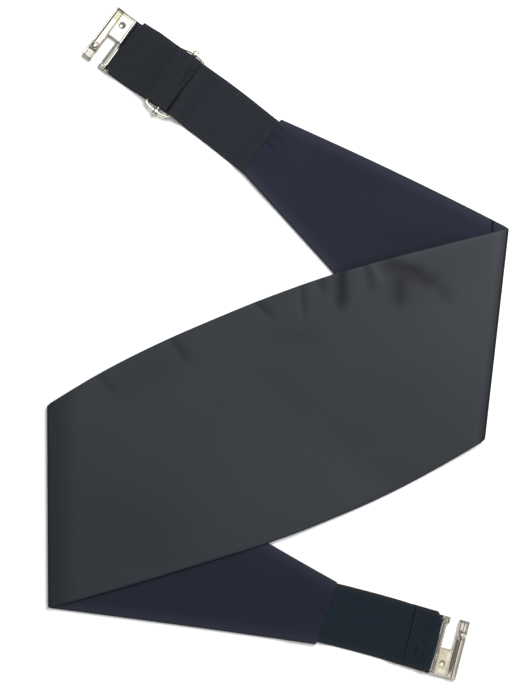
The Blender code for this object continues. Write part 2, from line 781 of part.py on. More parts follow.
def hard_pieces(collection):
    """The slider's two pieces and the two hooks, each at its place."""
    ring, bar = slider_ring(collection), slider_bar(collection)
    at, across = strap_frame(UPPER_STRAP, UPPER_STRAP.slider_at)
    for piece in (ring, bar):
        place(piece, at + across * SLIDER_ASIDE, SLIDER_HEIGHT, across_angle(across))
    pieces = [ring, bar]
    stamped = hook_mesh()
    for name, strap in (("upper_hook", UPPER_STRAP), ("lower_hook", LOWER_STRAP)):
        hook = make_object(name, stamped.copy(), NICKEL, collection)
        place(hook, strap.bar, HOOK_HEIGHT, strap.bar_angle)
        pieces.append(hook)
    return pieces


def centre_on_origin(root, pieces):
    """Moves the garment so that the middle of its box is over the origin."""
    bpy.context.view_layer.update()
    graph = bpy.context.evaluated_depsgraph_get()
    corners = []
    for piece in pieces:
        seen = piece.evaluated_get(graph)
        mesh = seen.to_mesh()
        corners += [seen.matrix_world @ vertex.co for vertex in mesh.vertices]
        seen.to_mesh_clear()
    for axis in range(2):
        values = [corner[axis] for corner in corners]
        root.location[axis] = -(min(values) + max(values)) / 2
    bpy.context.view_layer.update()


def main():
    """Builds the garment in a collection of its own."""
    for old in list(bpy.data.objects):
        bpy.data.objects.remove(old)
    collection = bpy.data.collections.new(OBJECT_NAME)
    bpy.context.scene.collection.children.link(collection)
    root = bpy.data.objects.new(OBJECT_NAME, None)
    collection.objects.link(root)

    pieces = cloth_walls(collection)
    upper, lower = strap_length(UPPER_STRAP), strap_length(LOWER_STRAP)
    pieces.append(elastic_strap("upper_strap", UPPER_STRAP, upper_path(upper), collection))
    pieces.append(elastic_strap("lower_strap", LOWER_STRAP, lower_path(lower), collection))
    pieces += hard_pieces(collection)
    for piece in pieces:
        piece.parent = root
    centre_on_origin(root, pieces)


main()
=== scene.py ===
"""Dresses a cummerbund: a satin front on a lining, folded under itself at both ends, with
elastic back straps, a wire slider and two stamped hooks.

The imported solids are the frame. Cloth and elastic are thin shells on the same forms, with
the creases that lie in them, and the hard pieces are modelled again with their stamped and
bent details. Sizes are millimetres in the garment's own layout, and CENTRE moves that
layout to the frame's origin.
"""

import logging  # noqa: E402
import math  # noqa: E402
from dataclasses import dataclass, field, replace  # noqa: E402
from enum import Enum  # noqa: E402

import bmesh  # noqa: E402
import bpy  # noqa: E402
import numpy as np  # noqa: E402
from mathutils import Matrix, Vector  # noqa: E402

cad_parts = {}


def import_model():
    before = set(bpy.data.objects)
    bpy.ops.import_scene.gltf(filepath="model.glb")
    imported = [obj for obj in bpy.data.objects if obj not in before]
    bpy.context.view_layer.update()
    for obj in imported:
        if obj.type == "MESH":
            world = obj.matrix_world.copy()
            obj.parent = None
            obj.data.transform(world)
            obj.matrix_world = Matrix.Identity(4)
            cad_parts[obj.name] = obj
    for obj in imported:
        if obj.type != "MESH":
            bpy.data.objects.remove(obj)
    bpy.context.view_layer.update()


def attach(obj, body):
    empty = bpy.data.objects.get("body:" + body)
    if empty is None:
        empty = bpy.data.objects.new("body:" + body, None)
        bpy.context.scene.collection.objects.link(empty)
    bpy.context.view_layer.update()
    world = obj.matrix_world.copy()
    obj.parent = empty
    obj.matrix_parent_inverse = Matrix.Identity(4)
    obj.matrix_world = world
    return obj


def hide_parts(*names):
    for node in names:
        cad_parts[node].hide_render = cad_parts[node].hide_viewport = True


log = logging.getLogger("cummerbund")

MM = 0.001
TO_MM = (1000.0, 1000.0, 1000.0)
# The garment's own layout to the middle of its box.
CENTRE = np.array((0.0035, -0.0411, 0.0))

Colour = tuple[float, float, float]
Flat = tuple[float, float]
Point = tuple[float, float, float]
Array = np.ndarray
Object = bpy.types.Object
Material = bpy.types.Material


# ---- Numbers ----
def ease(share: Array | float) -> Array:
    """A soft step from 0 to 1 as share goes from 0 to 1."""
    share = np.clip(share, 0.0, 1.0)
    return share * share * (3.0 - 2.0 * share)


def bow(share: Array | float, height: float) -> Array:
    """A plain arch of this height over a length, by the share of the length."""
    return 4.0 * height * np.asarray(share) * (1.0 - np.asarray(share))


def unit(vectors: Array) -> Array:
    """Vectors brought to length 1."""
    return vectors / np.linalg.norm(vectors, axis=-1, keepdims=True)


def left_of(direction: Array) -> Array:
    """Flat directions turned a quarter turn to the left."""
    return np.stack((-direction[..., 1], direction[..., 0]), axis=-1)


def heading(degrees: float) -> Array:
    """The flat unit vector at an angle."""
    return np.array((math.cos(math.radians(degrees)), math.sin(math.radians(degrees))))


def smooth_row(values: tuple[float, ...], at: Array) -> Array:
    """Evenly spaced values read at shares of the way, on a smooth curve through them.

    Args:
        values: The row's values, from share 0 to share 1.
        at: Where the row is read.

    Returns:
        One value for each share.
    """
    row = np.asarray(values, float)
    last = len(row) - 1
    place = np.clip(at, 0.0, 1.0) * last
    left = np.clip(np.floor(place).astype(int), 0, last - 1)
    share = place - left
    before, after = np.maximum(left - 1, 0), np.minimum(left + 2, last)
    slope_left = (row[left + 1] - row[before]) / (left + 1 - before)
    slope_right = (row[after] - row[left]) / (after - left)
    rise = row[left + 1] - row[left]
    bend = (1.0 - share) * (slope_left - rise) + share * (rise - slope_right)
    return row[left] + share * rise + share * (1.0 - share) * bend


# ---- Shader nodes ----
class Value:
    """A node's output that carries a number. Arithmetic on it adds Math nodes."""

    def __init__(self, graph: "Graph", socket: bpy.types.NodeSocket) -> None:
        """Keeps the graph that the socket belongs to."""
        self.graph = graph
        self.socket = socket

    def _math(self, operation: str, first: object, second: object = 0.0) -> "Value":
        """A Math node on two numbers or values."""
        settings = {"operation": operation}
        return self.graph.add("ShaderNodeMath", settings, {0: first, 1: second})

    def __add__(self, other: object) -> "Value":
        """Sum."""
        return self._math("ADD", self, other)

    __radd__ = __add__

    def __sub__(self, other: object) -> "Value":
        """Difference."""
        return self._math("SUBTRACT", self, other)

    def __rsub__(self, other: object) -> "Value":
        """Difference, with the number first."""
        return self._math("SUBTRACT", other, self)

    def __mul__(self, other: object) -> "Value":
        """Product."""
        return self._math("MULTIPLY", self, other)

    __rmul__ = __mul__

    def __truediv__(self, other: object) -> "Value":
        """Quotient."""
        return self._math("DIVIDE", self, other)

    def sine(self) -> "Value":
        """Sine of an angle in radians."""
        return self._math("SINE", self)

    def ridges(self, pitch: float, shift: object = 0.0) -> "Value":
        """Even waves from 0 to 1 along a distance."""
        return (self * (2.0 * math.pi / pitch) + shift).sine() * 0.5 + 0.5

    def above(self, level: float, softness: float) -> "Value":
        """0 below a level and 1 above it, with a soft step between.

        Args:
            level: The level.
            softness: Half the width of the step.

        Returns:
            The step.
        """
        settings = {"interpolation_type": "SMOOTHSTEP"}
        sockets = {"Value": self, "From Min": level - softness, "From Max": level + softness}
        return self.graph.add("ShaderNodeMapRange", settings, sockets)


class Graph:
    """The node tree of one material or world, round its shader."""

    def __init__(self, owner: bpy.types.ID, shader: str) -> None:
        """Opens the tree.

        Args:
            owner: The material or the world.
            shader: The name of its shader's node.
        """
        owner.use_nodes = True
        self.owner = owner
        self.tree = owner.node_tree
        self.shader = self.tree.nodes[shader]

    @classmethod
    def of_material(cls, name: str) -> "Graph":
        """The tree of a new material."""
        return cls(bpy.data.materials.new(name), "Principled BSDF")

    def feed(self, socket: bpy.types.NodeSocket, value: object) -> None:
        """Links or sets one input socket.

        Args:
            socket: The input.
            value: A value to link, or a number or a colour to set.
        """
        if isinstance(value, Value):
            self.tree.links.new(value.socket, socket)
        elif isinstance(value, tuple) and len(value) == 3 and socket.type == "RGBA":
            socket.default_value = (*value, 1.0)
        else:
            socket.default_value = value

    def add(
        self,
        kind: str,
        settings: dict[str, object] | None = None,
        sockets: dict[object, object] | None = None,
        output: int = 0,
    ) -> Value:
        """Adds a node.

        Args:
            kind: The node's type.
            settings: Its settings. "stops" is a ramp's list of (place, colour).
            sockets: Its inputs by name or number, as values or links.
            output: The number of the output that is returned.

        Returns:
            That output.
        """
        node = self.tree.nodes.new(kind)
        for name, value in (settings or {}).items():
            if name == "stops":
                elements = node.color_ramp.elements
                while len(elements) < len(value):
                    elements.new(0.5)
                for element, (place, colour) in zip(elements, value):
                    element.position = place
                    element.color = (*colour, 1.0)
            else:
                setattr(node, name, value)
        for name, value in (sockets or {}).items():
            self.feed(node.inputs[name], value)
        return Value(self, node.outputs[output])

    def blend(self, factor: object, first: object, second: object) -> Value:
        """A colour between two colours."""
        sockets = {0: factor, 6: first, 7: second}
        return self.add("ShaderNodeMix", {"data_type": "RGBA"}, sockets, output=2)

    def flat_place(self, layer: str) -> tuple[Value, Value, Value]:
        """The piece's own map in millimetres: the place, and how far across and along."""
        scaled = self.stretched(self.add("ShaderNodeUVMap", {"uv_map": layer}), TO_MM)
        return scaled, self.part(scaled, 0), self.part(scaled, 1)

    def object_place(self) -> Value:
        """Object coordinates in millimetres."""
        return self.stretched(self.add("ShaderNodeTexCoord", output=3), TO_MM)

    def part(self, place: Value, axis: int) -> Value:
        """One of a place's three numbers."""
        return self.add("ShaderNodeSeparateXYZ", None, {0: place}, output=axis)

    def attribute(self, name: str) -> Value:
        """The piece's own number at each point."""
        return self.add("ShaderNodeAttribute", {"attribute_name": name}, output=2)

    def beside(self, start: Flat, end: Flat) -> tuple[Value, Value]:
        """How far a point of the layout is along a line from its start, and to its left.

        Args:
            start: The line's start in the layout.
            end: Its end.

        Returns:
            Both distances in millimetres.
        """
        place = self.object_place()
        x, y = self.part(place, 0), self.part(place, 1)
        first = np.asarray(start) + CENTRE[:2]
        way = unit(np.subtract(end, start))
        x, y = x - float(first[0]), y - float(first[1])
        along = x * float(way[0]) + y * float(way[1])
        return along, y * float(way[0]) - x * float(way[1])

    def noise(self, place: Value, scale: float, detail: float = 2.0) -> Value:
        """Soft noise from 0 to 1."""
        sockets = {"Vector": place, "Scale": scale, "Detail": detail}
        return self.add("ShaderNodeTexNoise", None, sockets)

    def stretched(self, place: Value, by: Point) -> Value:
        """A place scaled by a number on each axis."""
        return self.add("ShaderNodeVectorMath", {"operation": "MULTIPLY"}, {0: place, 1: by})

    def bump(self, height: Value, distance: float, strength: float = 1.0) -> Value:
        """A normal that shows a height from 0 to 1 over a distance in metres."""
        sockets = {"Height": height, "Distance": distance, "Strength": strength}
        return self.add("ShaderNodeBump", None, sockets)

    def finish(self, sockets: dict[str, object]) -> bpy.types.ID:
        """Feeds the shader.

        Args:
            sockets: The shader's inputs by name, as values or links.

        Returns:
            The material or the world.
        """
        for name, value in sockets.items():
            self.feed(self.shader.inputs[name], value)
        return self.owner


@dataclass(frozen=True)
class Line:
    """A dark line or band in cloth between points of the layout, for seams and for painted shade
    such as the shadow in a gap or under an edge.
    """

    start: Flat
    end: Flat
    width: float
    strength: float

    def cover(self, graph: Graph) -> Value:
        """How dark the line makes the cloth, from 0 to 1.

        Args:
            graph: The material's node tree.

        Returns:
            The line's cover.
        """
        length = float(np.linalg.norm(np.subtract(self.end, self.start)))
        along, aside = graph.beside(self.start, self.end)
        beyond = self.width**2
        body = 1.0 - (aside * aside).above(beyond, beyond * 0.85)
        ends = along.above(0.0, 0.5) * (1.0 - along.above(length, 0.5))
        return body * ends * self.strength


@dataclass(frozen=True)
class FoldShade:
    """Painted shade along a fold: the cloth darker towards the fold's line."""

    start: Flat
    end: Flat
    reach: float
    strength: float

    def cover(self, graph: Graph) -> Value:
        """How much painted shade the fold lays on the cloth, from 0 to 1.

        Args:
            graph: The material's node tree.

        Returns:
            The fold's cover.
        """
        _, aside = graph.beside(self.start, self.end)
        near = 1.0 - aside.above(self.reach / 2, self.reach / 2)
        return near * self.strength


def darkened(graph: Graph, colour: Value, covers: list[Value], shade: Colour) -> Value:
    """A colour under seams and under painted shade from lines, folds and creases.

    Args:
        graph: The material's node tree.
        colour: The cloth's colour.
        covers: How dark each line or fold makes it.
        shade: The colour of full dark.

    Returns:
        The darkened colour.
    """
    for cover in covers:
        colour = graph.blend(cover, colour, shade)
    return colour


@dataclass(frozen=True)
class SatinFinish:
    """Charcoal satin: fine warp threads, a few slubs and a soft sheen, with painted shade at its
    folds and creases.
    """

    colour: Colour = (0.0187, 0.0229, 0.0292)
    deep: Colour = (0.0139, 0.0171, 0.0226)
    roughness: float = 0.46
    thread: float = 0.34
    shadow: Colour = (0.0020, 0.0030, 0.0052)
    # Painted shade: bands that darken the satin towards both folds.
    folds: tuple[FoldShade, ...] = (
        FoldShade((-138.6, -36.9), (-138.0, -158.7), 19.0, 0.62),
        FoldShade((124.2, -57.9), (138.6, 69.3), 6.4, 0.95),
    )
    slot: str = "satin"

    def material(self) -> Material:
        """The satin's material.

        Returns:
            The material.
        """
        graph = Graph.of_material("charcoal_satin")
        place, across, along = graph.flat_place("cloth")
        threads = across.ridges(self.thread)
        slubs = graph.noise(graph.stretched(place, (2.6, 0.09, 1.0)), 1.0, 3.0)
        cross = graph.noise(graph.stretched(place, (0.5, 5.0, 1.0)), 1.0, 2.0)
        broad = graph.noise(place, 0.021, 2.0)
        tone = broad * 0.45 + slubs * 0.35 + threads * 0.2
        height = threads * 0.45 + slubs * 0.35 + cross * 0.2
        # Painted shade from the folds' bands and from the creases' shade attribute.
        covers = [fold.cover(graph) for fold in self.folds] + [graph.attribute("shade")]
        colour = darkened(graph, graph.blend(tone, self.deep, self.colour), covers, self.shadow)
        return graph.finish(
            {
                "Base Color": colour,
                "Roughness": slubs * 0.14 + (self.roughness - 0.07),
                "Normal": graph.bump(height, 0.00003),
                "Sheen Weight": 0.06,
                "Sheen Roughness": 0.4,
                "Specular IOR Level": 0.19,
            }
        )


@dataclass(frozen=True)
class LiningFinish:
    """Matt twill lining with a bluish cast, painted light towards its long edges, and seams and
    painted shade in its lines and creases.
    """

    colour: Colour = (0.0118, 0.0142, 0.0262)
    deep: Colour = (0.0080, 0.0100, 0.0195)
    roughness: float = 0.78
    twill: float = 0.62
    # Painted light: the colour of a glow of bounced light along the long edges, out to about
    # rim_reach.
    rim: Colour = (0.0330, 0.0350, 0.0500)
    rim_reach: float = 10.0
    shadow: Colour = (0.0020, 0.0022, 0.0050)
    # The first line is a painted shadow at the right fold's tip, the second a seam along the upper
    # wing's edge, the third a painted shadow under the front's upper edge, and the fourth broad
    # painted shade over the lower wing.
    lines: tuple[Line, ...] = (
        Line((128.9, 76.0), (128.5, 65.0), 0.75, 0.95),
        Line((4.0, 135.2), (136.5, 70.6), 0.45, 0.35),
        Line((34.0, 43.4), (112.0, 63.8), 2.4, 0.32),
        Line((-140.0, -150.0), (36.0, -160.0), 30.0, 0.14),
    )
    slot: str = "lining"

    def material(self) -> Material:
        """The lining's material.

        Returns:
            The material.
        """
        graph = Graph.of_material("twill_lining")
        place, across, along = graph.flat_place("cloth")
        wander = graph.noise(place, 0.35, 2.0)
        ribs = (across + along * 0.8 + wander * 0.5).ridges(self.twill)
        yarns = graph.noise(graph.stretched(place, (4.5, 1.2, 1.0)), 1.0, 2.0)
        broad = graph.noise(place, 0.03, 2.0)
        tone = ribs * 0.35 + yarns * 0.3 + broad * 0.35
        # Painted light: the lining glows towards its long edges.
        _, from_rim, _ = graph.flat_place("rim")
        near = 1.0 - from_rim.above(self.rim_reach / 2, self.rim_reach / 2)
        wide = 1.0 - from_rim.above(self.rim_reach * 1.7, self.rim_reach * 1.7)
        glow = near * near * 0.34 + wide * 0.05
        colour = graph.blend(glow, graph.blend(tone, self.deep, self.colour), self.rim)
        # Seams and painted shade from the lines, and painted shade from the creases.
        covers = [line.cover(graph) for line in self.lines] + [graph.attribute("shade") * 0.9]
        return graph.finish(
            {
                "Base Color": darkened(graph, colour, covers, self.shadow),
                "Roughness": yarns * 0.12 + (self.roughness - 0.06),
                "Normal": graph.bump(ribs * 0.6 + yarns * 0.4, 0.00006),
                "Sheen Weight": 0.05,
                "Sheen Roughness": 0.5,
                "Specular IOR Level": 0.13,
            }
        )


@dataclass(frozen=True)
class ElasticFinish:
    """Woven elastic: cords along its length, crossed by covering yarns, with painted light along
    its edges.
    """

    colour: Colour = (0.0128, 0.0155, 0.0215)
    deep: Colour = (0.0060, 0.0078, 0.0118)
    roughness: float = 0.78
    cord: float = 1.05
    yarn: float = 0.55
    specular: float = 0.2
    lint: Colour = (0.055, 0.060, 0.066)
    # Painted light: the colour that the edges are lightened towards, by rim_glow.
    rim: Colour = (0.0165, 0.0180, 0.0225)
    rim_glow: float = 0.5
    shadow: Colour = (0.0012, 0.0014, 0.0022)
    lines: tuple[Line, ...] = ()
    name: str = "ribbed_elastic"
    slot: str = "elastic"

    def material(self) -> Material:
        """The elastic's material.

        Returns:
            The material.
        """
        graph = Graph.of_material(self.name)
        place, across, along = graph.flat_place("cloth")
        cords = across.ridges(self.cord)
        yarns = along.ridges(self.yarn, cords.above(0.5, 0.12) * math.pi)
        fuzz = graph.noise(place, 2.2, 3.0)
        broad = graph.noise(place, 0.05, 2.0)
        tone = cords * 0.2 + yarns * 0.3 + fuzz * 0.25 + broad * 0.25
        specks = graph.noise(graph.stretched(place, (0.75, 1.3, 1.0)), 1.0, 0.0).above(0.80, 0.02)
        colour = graph.blend(specks * 0.6, graph.blend(tone, self.deep, self.colour), self.lint)
        # Painted light along both edges.
        near = (across * across).above(292.0, 70.0)
        colour = graph.blend(near * self.rim_glow, colour, self.rim)
        # Dark lines: on the upper strap painted shadows, on the lower one marks at the stitching.
        covers = [line.cover(graph) for line in self.lines]
        return graph.finish(
            {
                "Base Color": darkened(graph, colour, covers, self.shadow),
                "Roughness": fuzz * 0.2 + (self.roughness - 0.1),
                "Normal": graph.bump(cords * 0.4 + yarns * 0.45 + fuzz * 0.15, 0.00014),
                "Sheen Weight": 0.05,
                "Sheen Roughness": 0.5,
                "Specular IOR Level": self.specular,
            }
        )


@dataclass(frozen=True)
class ThreadFinish:
    """Twisted sewing thread."""

    colour: Colour = (0.014, 0.017, 0.023)
    deep: Colour = (0.005, 0.007, 0.010)
    slot: str = "elastic"

    def material(self) -> Material:
        """The thread's material.

        Returns:
            The material.
        """
        graph = Graph.of_material("sewing_thread")
        place = graph.object_place()
        twist = graph.noise(place, 5.0, 2.0)
        return graph.finish(
            {
                "Base Color": graph.blend(twist, self.deep, self.colour),
                "Roughness": twist * 0.2 + 0.5,
                "Normal": graph.bump(twist, 0.00004),
            }
        )


@dataclass(frozen=True)
class StainAndShade:
    """A darker or paler patch on the metal, which may be painted shade, with soft sides, in the
    piece's own flat places in millimetres."""

    at: Flat
    reach: Flat
    colour: Colour
    strength: float = 1.0

    def cover(self, across: Value, along: Value, uneven: Value) -> Value:
        """How much of the metal the stain hides.

        Args:
            across: Places across the strap's line, in the piece's own layout.
            along: Places along the other way.
            uneven: Noise that makes the stain's outline uneven.

        Returns:
            The stain's cover, from 0 to 1.
        """
        side = (across - self.at[0]) / self.reach[0]
        end = (along - self.at[1]) / self.reach[1]
        side, end = side * side, end * end
        far = side * side + end * end + (uneven - 0.5) * 0.9
        return (1.0 - far.above(0.8, 0.5)) * self.strength


@dataclass(frozen=True)
class NickelFinish:
    """Warm nickel plate with polishing lines, dull patches, a few scratches, and darker and paler
    patches, some of them painted shade.
    """

    name: str = "warm_nickel"
    colour: Colour = (0.70, 0.69, 0.64)
    dull: Colour = (0.56, 0.54, 0.48)
    roughness: float = 0.2
    stains_and_shade: tuple[StainAndShade, ...] = ()
    slot: str = "nickel"

    def material(self) -> Material:
        """The plate's material.

        Returns:
            The material.
        """
        graph = Graph.of_material(self.name)
        place = graph.object_place()
        _, across, along = graph.flat_place("metal")
        patches = graph.noise(place, 0.32, 3.0)
        uneven = graph.noise(place, 1.1, 3.0)
        lines = graph.noise(graph.stretched(place, (0.6, 7.0, 2.0)), 1.0, 2.0)
        scratches = graph.noise(graph.stretched(place, (9.0, 0.7, 2.0)), 1.0, 1.0).above(0.68, 0.03)
        worn = patches.above(0.56, 0.14)
        colour = graph.blend(worn * 0.7 + lines * 0.15, self.colour, self.dull)
        rough_wear_and_shade = worn * 0.18
        # Patches of colour, among them painted shade; they also roughen the plate.
        for patch in self.stains_and_shade:
            cover = patch.cover(across, along, uneven)
            colour = graph.blend(cover, colour, patch.colour)
            rough_wear_and_shade = rough_wear_and_shade + cover * 0.12
        return graph.finish(
            {
                "Base Color": colour,
                "Metallic": 1.0,
                "Roughness": rough_wear_and_shade + lines * 0.08 + scratches * 0.1 + self.roughness,
                "Normal": graph.bump(lines * 0.4 + patches * 0.4 + scratches * 0.2, 0.00004),
            }
        )


@dataclass(frozen=True)
class PaperFinish:
    """White studio paper."""

    colour: Colour = (0.93, 0.93, 0.93)

    def material(self) -> Material:
        """The paper's material.

        Returns:
            The material.
        """
        graph = Graph.of_material("studio_paper")
        grain = graph.noise(graph.object_place(), 0.8, 2.0)
        shade = tuple(channel * 0.985 for channel in self.colour)
        colour = graph.blend(grain, shade, self.colour)
        return graph.finish({"Base Color": colour, "Roughness": 0.9})


# ---- Pieces ----
class Body(Enum):
    """The frame's bodies."""

    GARMENT = "garment"
    UPPER_HOOK = "upper_hook"
    LOWER_HOOK = "lower_hook"


def deselect() -> None:
    """Leaves nothing selected."""
    if bpy.context.object and bpy.context.object.mode != "OBJECT":
        bpy.ops.object.mode_set(mode="OBJECT")
    bpy.ops.object.select_all(action="DESELECT")


def select_only(*made: Object) -> None:
    """Selects these objects and nothing else, and makes the first one active.

    Args:
        made: The objects.
    """
    deselect()
    for one in made:
        one.select_set(True)
    bpy.context.view_layer.objects.active = made[0]


def apply_modifiers(made: Object) -> None:
    """Applies all modifiers of an object.

    Args:
        made: The object.
    """
    select_only(made)
    for modifier in list(made.modifiers):
        bpy.ops.object.modifier_apply(modifier=modifier.name)


def grid_object(
    name: str,
    points: Array,
    places: dict[str, Array],
    closed: bool = False,
    shades: Array | None = None,
) -> Object:
    """A mesh of quads through a grid of points.

    Args:
        name: The object's name.
        points: Rows along by columns across by three, in the layout's millimetres.
        places: The same grid's places for each of the piece's maps, in millimetres.
        closed: Whether the last column joins the first, with the ends capped.
        shades: How much painted shade creases lay on the cloth at the points.

    Returns:
        The object, smooth shaded.
    """
    rows, columns = points.shape[:2]
    numbers = np.arange(rows * columns).reshape(rows, columns)
    near, far = numbers[:-1], numbers[1:]
    if closed:
        next_near, next_far = np.roll(near, -1, axis=1), np.roll(far, -1, axis=1)
    else:
        near, next_near = near[:, :-1], near[:, 1:]
        far, next_far = far[:, :-1], far[:, 1:]
    quads = np.stack((near, far, next_far, next_near), axis=-1).reshape(-1, 4)
    faces = quads.tolist()
    if closed:
        faces += [numbers[0].tolist(), numbers[-1][::-1].tolist()]
    mesh = bpy.data.meshes.new(name)
    mesh.from_pydata(((points + CENTRE) * MM).reshape(-1, 3).tolist(), [], faces)
    corners = np.empty(len(mesh.loops), np.int64)
    mesh.loops.foreach_get("vertex_index", corners)
    for layer, flat in places.items():
        flat = (flat.reshape(-1, 2)[corners] * MM).ravel().astype(np.float32)
        mesh.uv_layers.new(name=layer).data.foreach_set("uv", flat)
    if shades is not None:
        values = mesh.attributes.new("shade", "FLOAT", "POINT").data
        values.foreach_set("value", np.clip(shades, 0.0, 1.0).ravel().astype(np.float32))
    mesh.shade_smooth()
    made = bpy.data.objects.new(name, mesh)
    bpy.context.scene.collection.objects.link(made)
    return made


# ---- The strip of cloth ----
SATIN_THICKNESS = 1.0
LINING_THICKNESS = 1.0
ELASTIC_THICKNESS = 1.0
SEAM_GAP = 0.3
LAYER = LINING_THICKNESS + SEAM_GAP
FLAT_HEIGHT = SATIN_THICKNESS + SEAM_GAP / 2
WING_LIFT = SATIN_THICKNESS + LINING_THICKNESS + 2 * SEAM_GAP
FOLD_RADIUS = 1.3
FOLD_REACH = FOLD_RADIUS + FLAT_HEIGHT
DESCENT_START = 9.0
DESCENT_LENGTH = 26.0
# Further from a wing's end than any row that has none.
FAR = 1000.0


@dataclass(frozen=True)
class Fold:
    """The outermost line of a fold, as its ends."""

    top: Flat
    bottom: Flat

    def inside(self, points: Array) -> Array:
        """How far points lie inside the line.

        Args:
            points: Points of the layout.

        Returns:
            One distance for each point.
        """
        direction = unit(np.subtract(self.top, self.bottom))
        offset = np.asarray(points)[..., :2] - np.asarray(self.bottom)
        return np.abs(direction[0] * offset[..., 1] - direction[1] * offset[..., 0])

    def bend_share(self, far: Flat) -> float:
        """The share of the way from the fold to a far point at which its bend ends."""
        return FOLD_REACH / float(self.inside(far))


@dataclass(frozen=True)
class Wing:
    """The cloth past a fold, to where the strap comes out of its end."""

    fold: Fold
    end_top: Flat
    end_bottom: Flat
    top_bow: float
    bottom_bow: float
    turned: float

    def edges(self, share: Array) -> tuple[Array, Array]:
        """The lower and upper edge points at shares of the way from the fold's bend.

        Args:
            share: Shares of the wing's length.

        Returns:
            The lower edge's points and the upper edge's.
        """
        points = []
        for start, end, height in (
            (self.fold.bottom, self.end_bottom, -self.turned * self.bottom_bow),
            (self.fold.top, self.end_top, self.turned * self.top_bow),
        ):
            first = self.fold.bend_share(end)
            along = (first + (1.0 - first) * share)[:, None]
            way = np.subtract(end, start)
            points.append(np.asarray(start) + way * along + left_of(unit(way)) * bow(along, height))
        return points[0], points[1]

    def length(self) -> float:
        """Length along the middle, from the fold's bend.

        Returns:
            The length.
        """
        bottom, top = self.edges(np.array((0.0, 1.0)))
        middle = (bottom + top) / 2
        return float(np.linalg.norm(middle[1] - middle[0]))

    def outside(self, points: Array) -> Array:
        """How far points lie past the wing's edge that the front hides.

        Args:
            points: Points of the layout.

        Returns:
            One distance for each point, below 0 on the wing.
        """
        if self.turned > 0:
            start, end = self.fold.top, self.end_top
        else:
            start, end = self.fold.bottom, self.end_bottom
        direction = unit(np.subtract(end, start))
        offset = points[..., :2] - np.asarray(start)
        return direction[0] * offset[..., 1] - direction[1] * offset[..., 0]


LEFT_FOLD = Fold(top=(-138.6, -36.9), bottom=(-138.0, -158.7))
RIGHT_FOLD = Fold(top=(138.6, 69.3), bottom=(124.2, -57.9))
LEFT_WING = Wing(
    LEFT_FOLD,
    end_top=(35.6, -143.3),
    end_bottom=(22.6, -180.6),
    top_bow=-2.0,
    bottom_bow=-0.4,
    turned=1.0,
)
RIGHT_WING = Wing(
    RIGHT_FOLD,
    end_top=(2.0, 134.6),
    end_bottom=(-21.4, 102.6),
    top_bow=1.2,
    bottom_bow=0.0,
    turned=-1.0,
)


@dataclass(frozen=True)
class Crease:
    """A soft trough (height below 0) or ridge in cloth, from start to end in the layout."""

    start: Flat
    end: Flat
    width: float
    height: float
    # dark: how much painted shade the crease lays in the cloth's colour.
    dark: float = 0.0
    open_start: bool = False

    def swell(self, points: Array) -> Array:
        """How much of the crease there is at points, from 0 to 1.

        Args:
            points: Points of the layout.

        Returns:
            One share for each point.
        """
        way = np.subtract(self.end, self.start)
        length = float(np.linalg.norm(way))
        offset = points[..., :2] - np.asarray(self.start)
        along = offset @ (way / length**2)
        aside = offset @ left_of(way / length)
        swell = ease((1.15 - along) / 0.55)
        if not self.open_start:
            swell = swell * ease((along + 0.15) / 0.45)
        return swell * np.exp(-((aside / self.width) ** 2))


@dataclass(frozen=True)
class Ripple:
    """A long, low wave over a whole piece of cloth."""

    length: float
    angle: float
    phase: float
    height: float

    def relief(self, points: Array) -> Array:
        """How far the wave raises the cloth at points."""
        along = points[..., :2] @ heading(self.angle)
        return self.height * np.sin(2.0 * math.pi * along / self.length + self.phase)


class Region(Enum):
    """The stretches of the strip."""

    LEFT_WING = 0
    LEFT_FOLD = 1
    FRONT = 2
    RIGHT_FOLD = 3
    RIGHT_WING = 4


